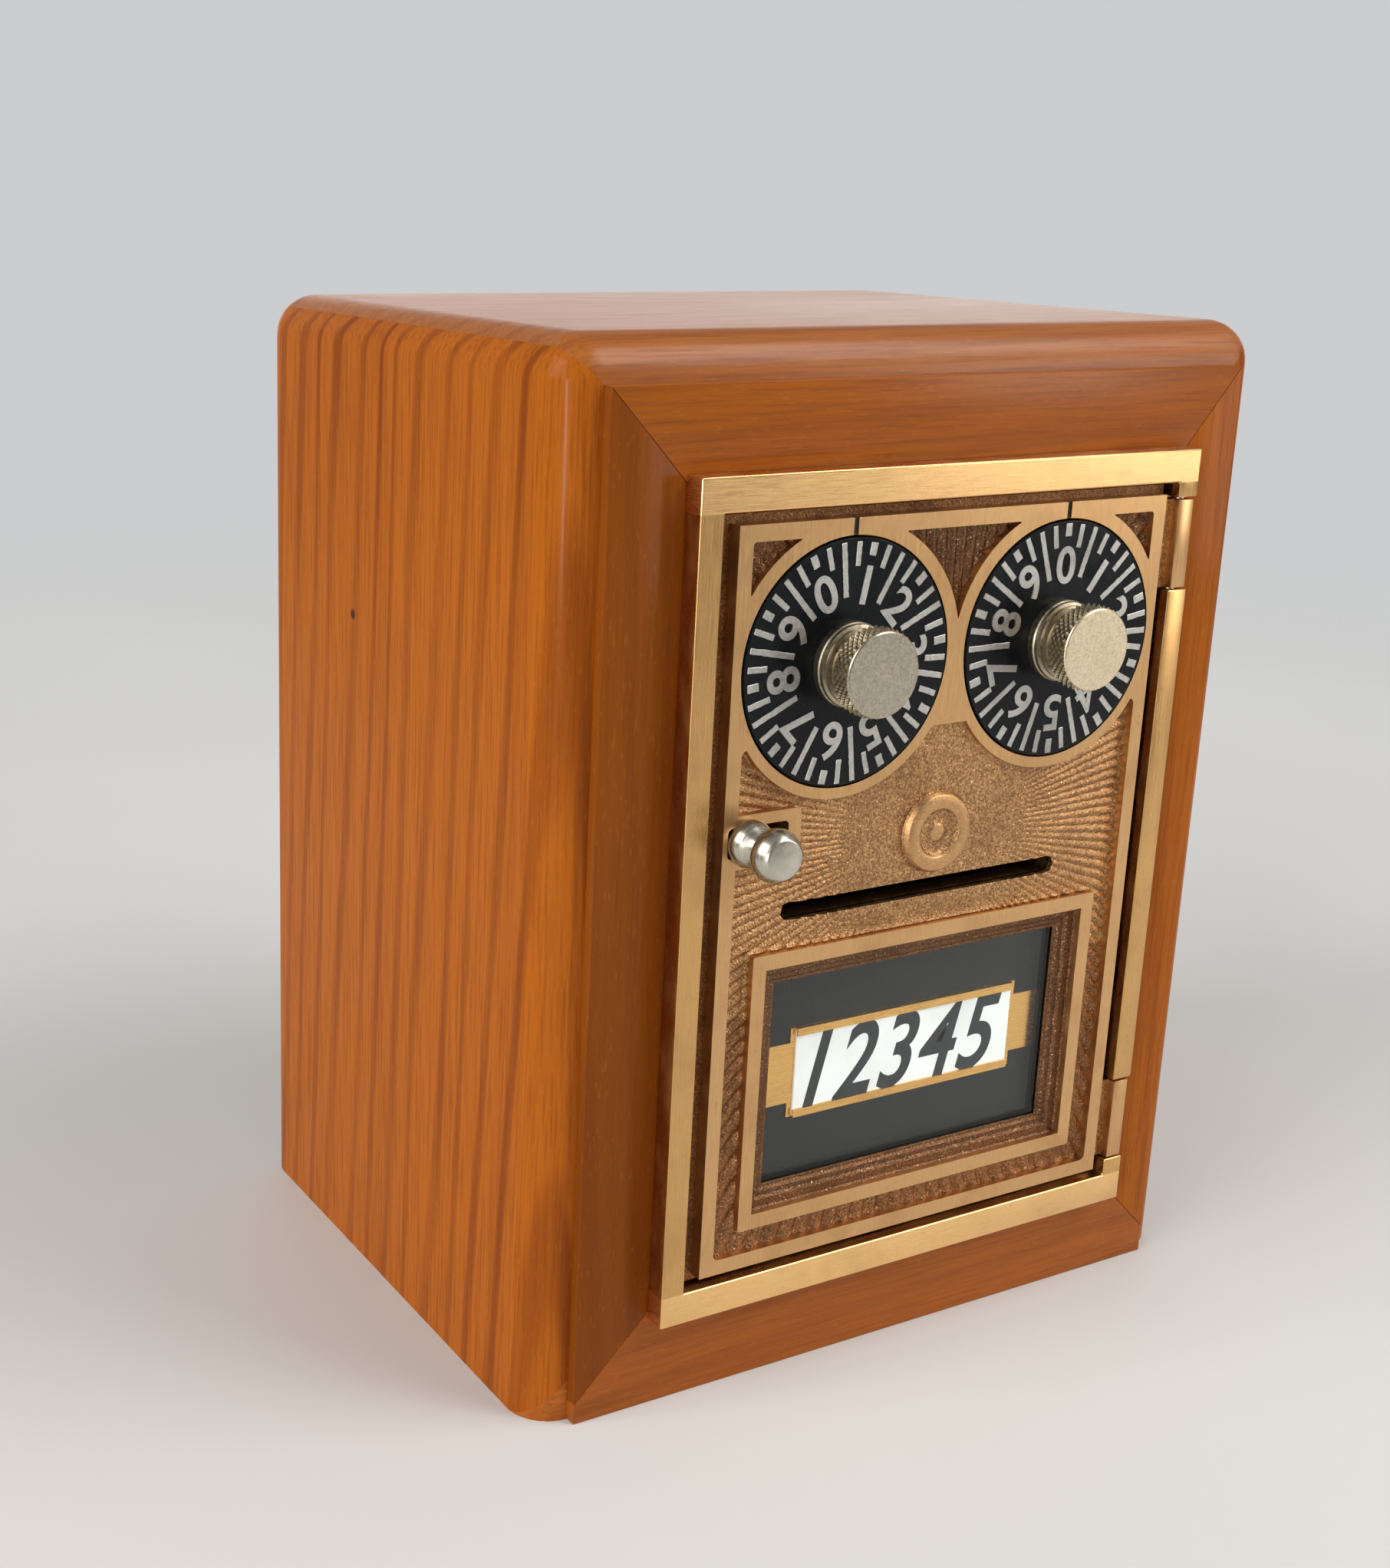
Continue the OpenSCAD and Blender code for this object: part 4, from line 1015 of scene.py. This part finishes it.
# Floor, light and camera
studio = {"world": 0.75, "lit": (0.38, 0.38, 0.38), "seen": (0.80, 0.81, 0.82), "melt": (0.22, 0.85)}
lamps = {"keyWindow": ((0.8, -0.7, 1.2), (0, 0, 0.08), (0.9, 0.9), 13, (1.0, 0.98, 0.95)),
         "rightWindow": ((0.50, -0.47, 0.22), (0.03, -0.04, 0.12), (0.22, 0.3), 0.85, (1.0, 0.97, 0.92)),
         "leftFill": ((-1.2, -0.1, 0.8), (0, 0, 0.08), (1.0, 1.0), 14, (1.0, 0.99, 0.96)),
         "leftStrip": ((-0.9, -0.62, 0.15), (-0.06, -0.04, 0.10), (0.08, 0.28), 2.4, (1.0, 0.98, 0.95)),
         "backSky": ((0.7, 1.2, 0.3), (0, 0, 0.15), (2.2, 0.5), 4.2, (1.0, 0.99, 0.97))}
view = {"focal": 2636.66, "midX": 614.55, "midY": 962.89, "wide": 1812, "high": 2044, "sensor": 24,
        "turn": (1.8, -0.4408, 0.3646), "spot": (-192.4413, -210.7216, 170.7198)}


def buildStage():
    bm = bmesh.new()
    bmesh.ops.create_grid(bm, x_segments=1, y_segments=1, size=3.0)
    mesh = bpy.data.meshes.new("floor")
    bm.to_mesh(mesh)
    bm.free()
    made = linked("floor", mesh)
    material, tree, shader, coords = newMaterial("paleFloor")
    cloud = noiseNode(tree, coords, 3.0, 2, 0.5)
    tone = mixColor(tree, mapRange(tree, cloud, 0.3, 0.7), (0.66, 0.66, 0.65), (0.72, 0.72, 0.71))
    wireShader(tree, shader, tone)
    shader.inputs["Roughness"].default_value = 0.6
    reach = vectorNode(tree, "LENGTH", {0: coords})["Value"]
    fade = mapRange(tree, reach, *studio["melt"], 1.0, 0.0)              # melts into the backdrop
    tree.links.new(fade, shader.inputs["Alpha"])
    mesh.materials.append(material)
    world = bpy.data.worlds.new("studioWorld")
    bpy.context.scene.world = world
    world.use_nodes = True
    tree = world.node_tree
    back = tree.nodes["Background"].inputs
    path = addNode(tree, "ShaderNodeLightPath").outputs
    seen = mathNode(tree, "MAXIMUM", path["Is Camera Ray"], path["Is Transmission Ray"])
    tree.links.new(mixColor(tree, seen, studio["lit"], studio["seen"]), back["Color"])
    back["Strength"].default_value = studio["world"]


def addLamp(name, where, aim, size, power, color):
    lamp = bpy.data.lights.new(name, "AREA")
    lamp.shape = "RECTANGLE"
    lamp.size, lamp.size_y = size
    lamp.energy = power
    lamp.color = color
    made = linked(name, lamp)
    made.location = where
    made.rotation_euler = (Vector(aim) - Vector(where)).to_track_quat("-Z", "Y").to_euler()


def buildCamera():
    camera = bpy.data.cameras.new("photoCamera")
    made = linked("photoCamera", camera)
    camera.sensor_fit = "VERTICAL"
    camera.sensor_height = view["sensor"]
    camera.lens = view["focal"] * view["sensor"] / view["high"]
    camera.shift_x = (view["wide"] / 2 - view["midX"]) / view["high"]
    camera.shift_y = (view["midY"] - view["high"] / 2) / view["high"]
    camera.clip_start = 0.01
    turn = Vector(view["turn"])
    toCam = Matrix.Rotation(turn.length, 3, turn.normalized())       # world to camera, y down and z ahead
    spin = Matrix([toCam[0], -Vector(toCam[1]), -Vector(toCam[2])]).transposed().to_4x4()
    x, y, z = (value * mm for value in view["spot"])
    made.matrix_world = Matrix.Translation((doorX + x, frontY + y, z)) @ spin
    bpy.context.scene.camera = made


buildStage()
for name, lamp in lamps.items():
    addLamp(name, *lamp)
buildCamera()
bpy.context.scene.view_settings.view_transform = "Standard"

print("scene ready")
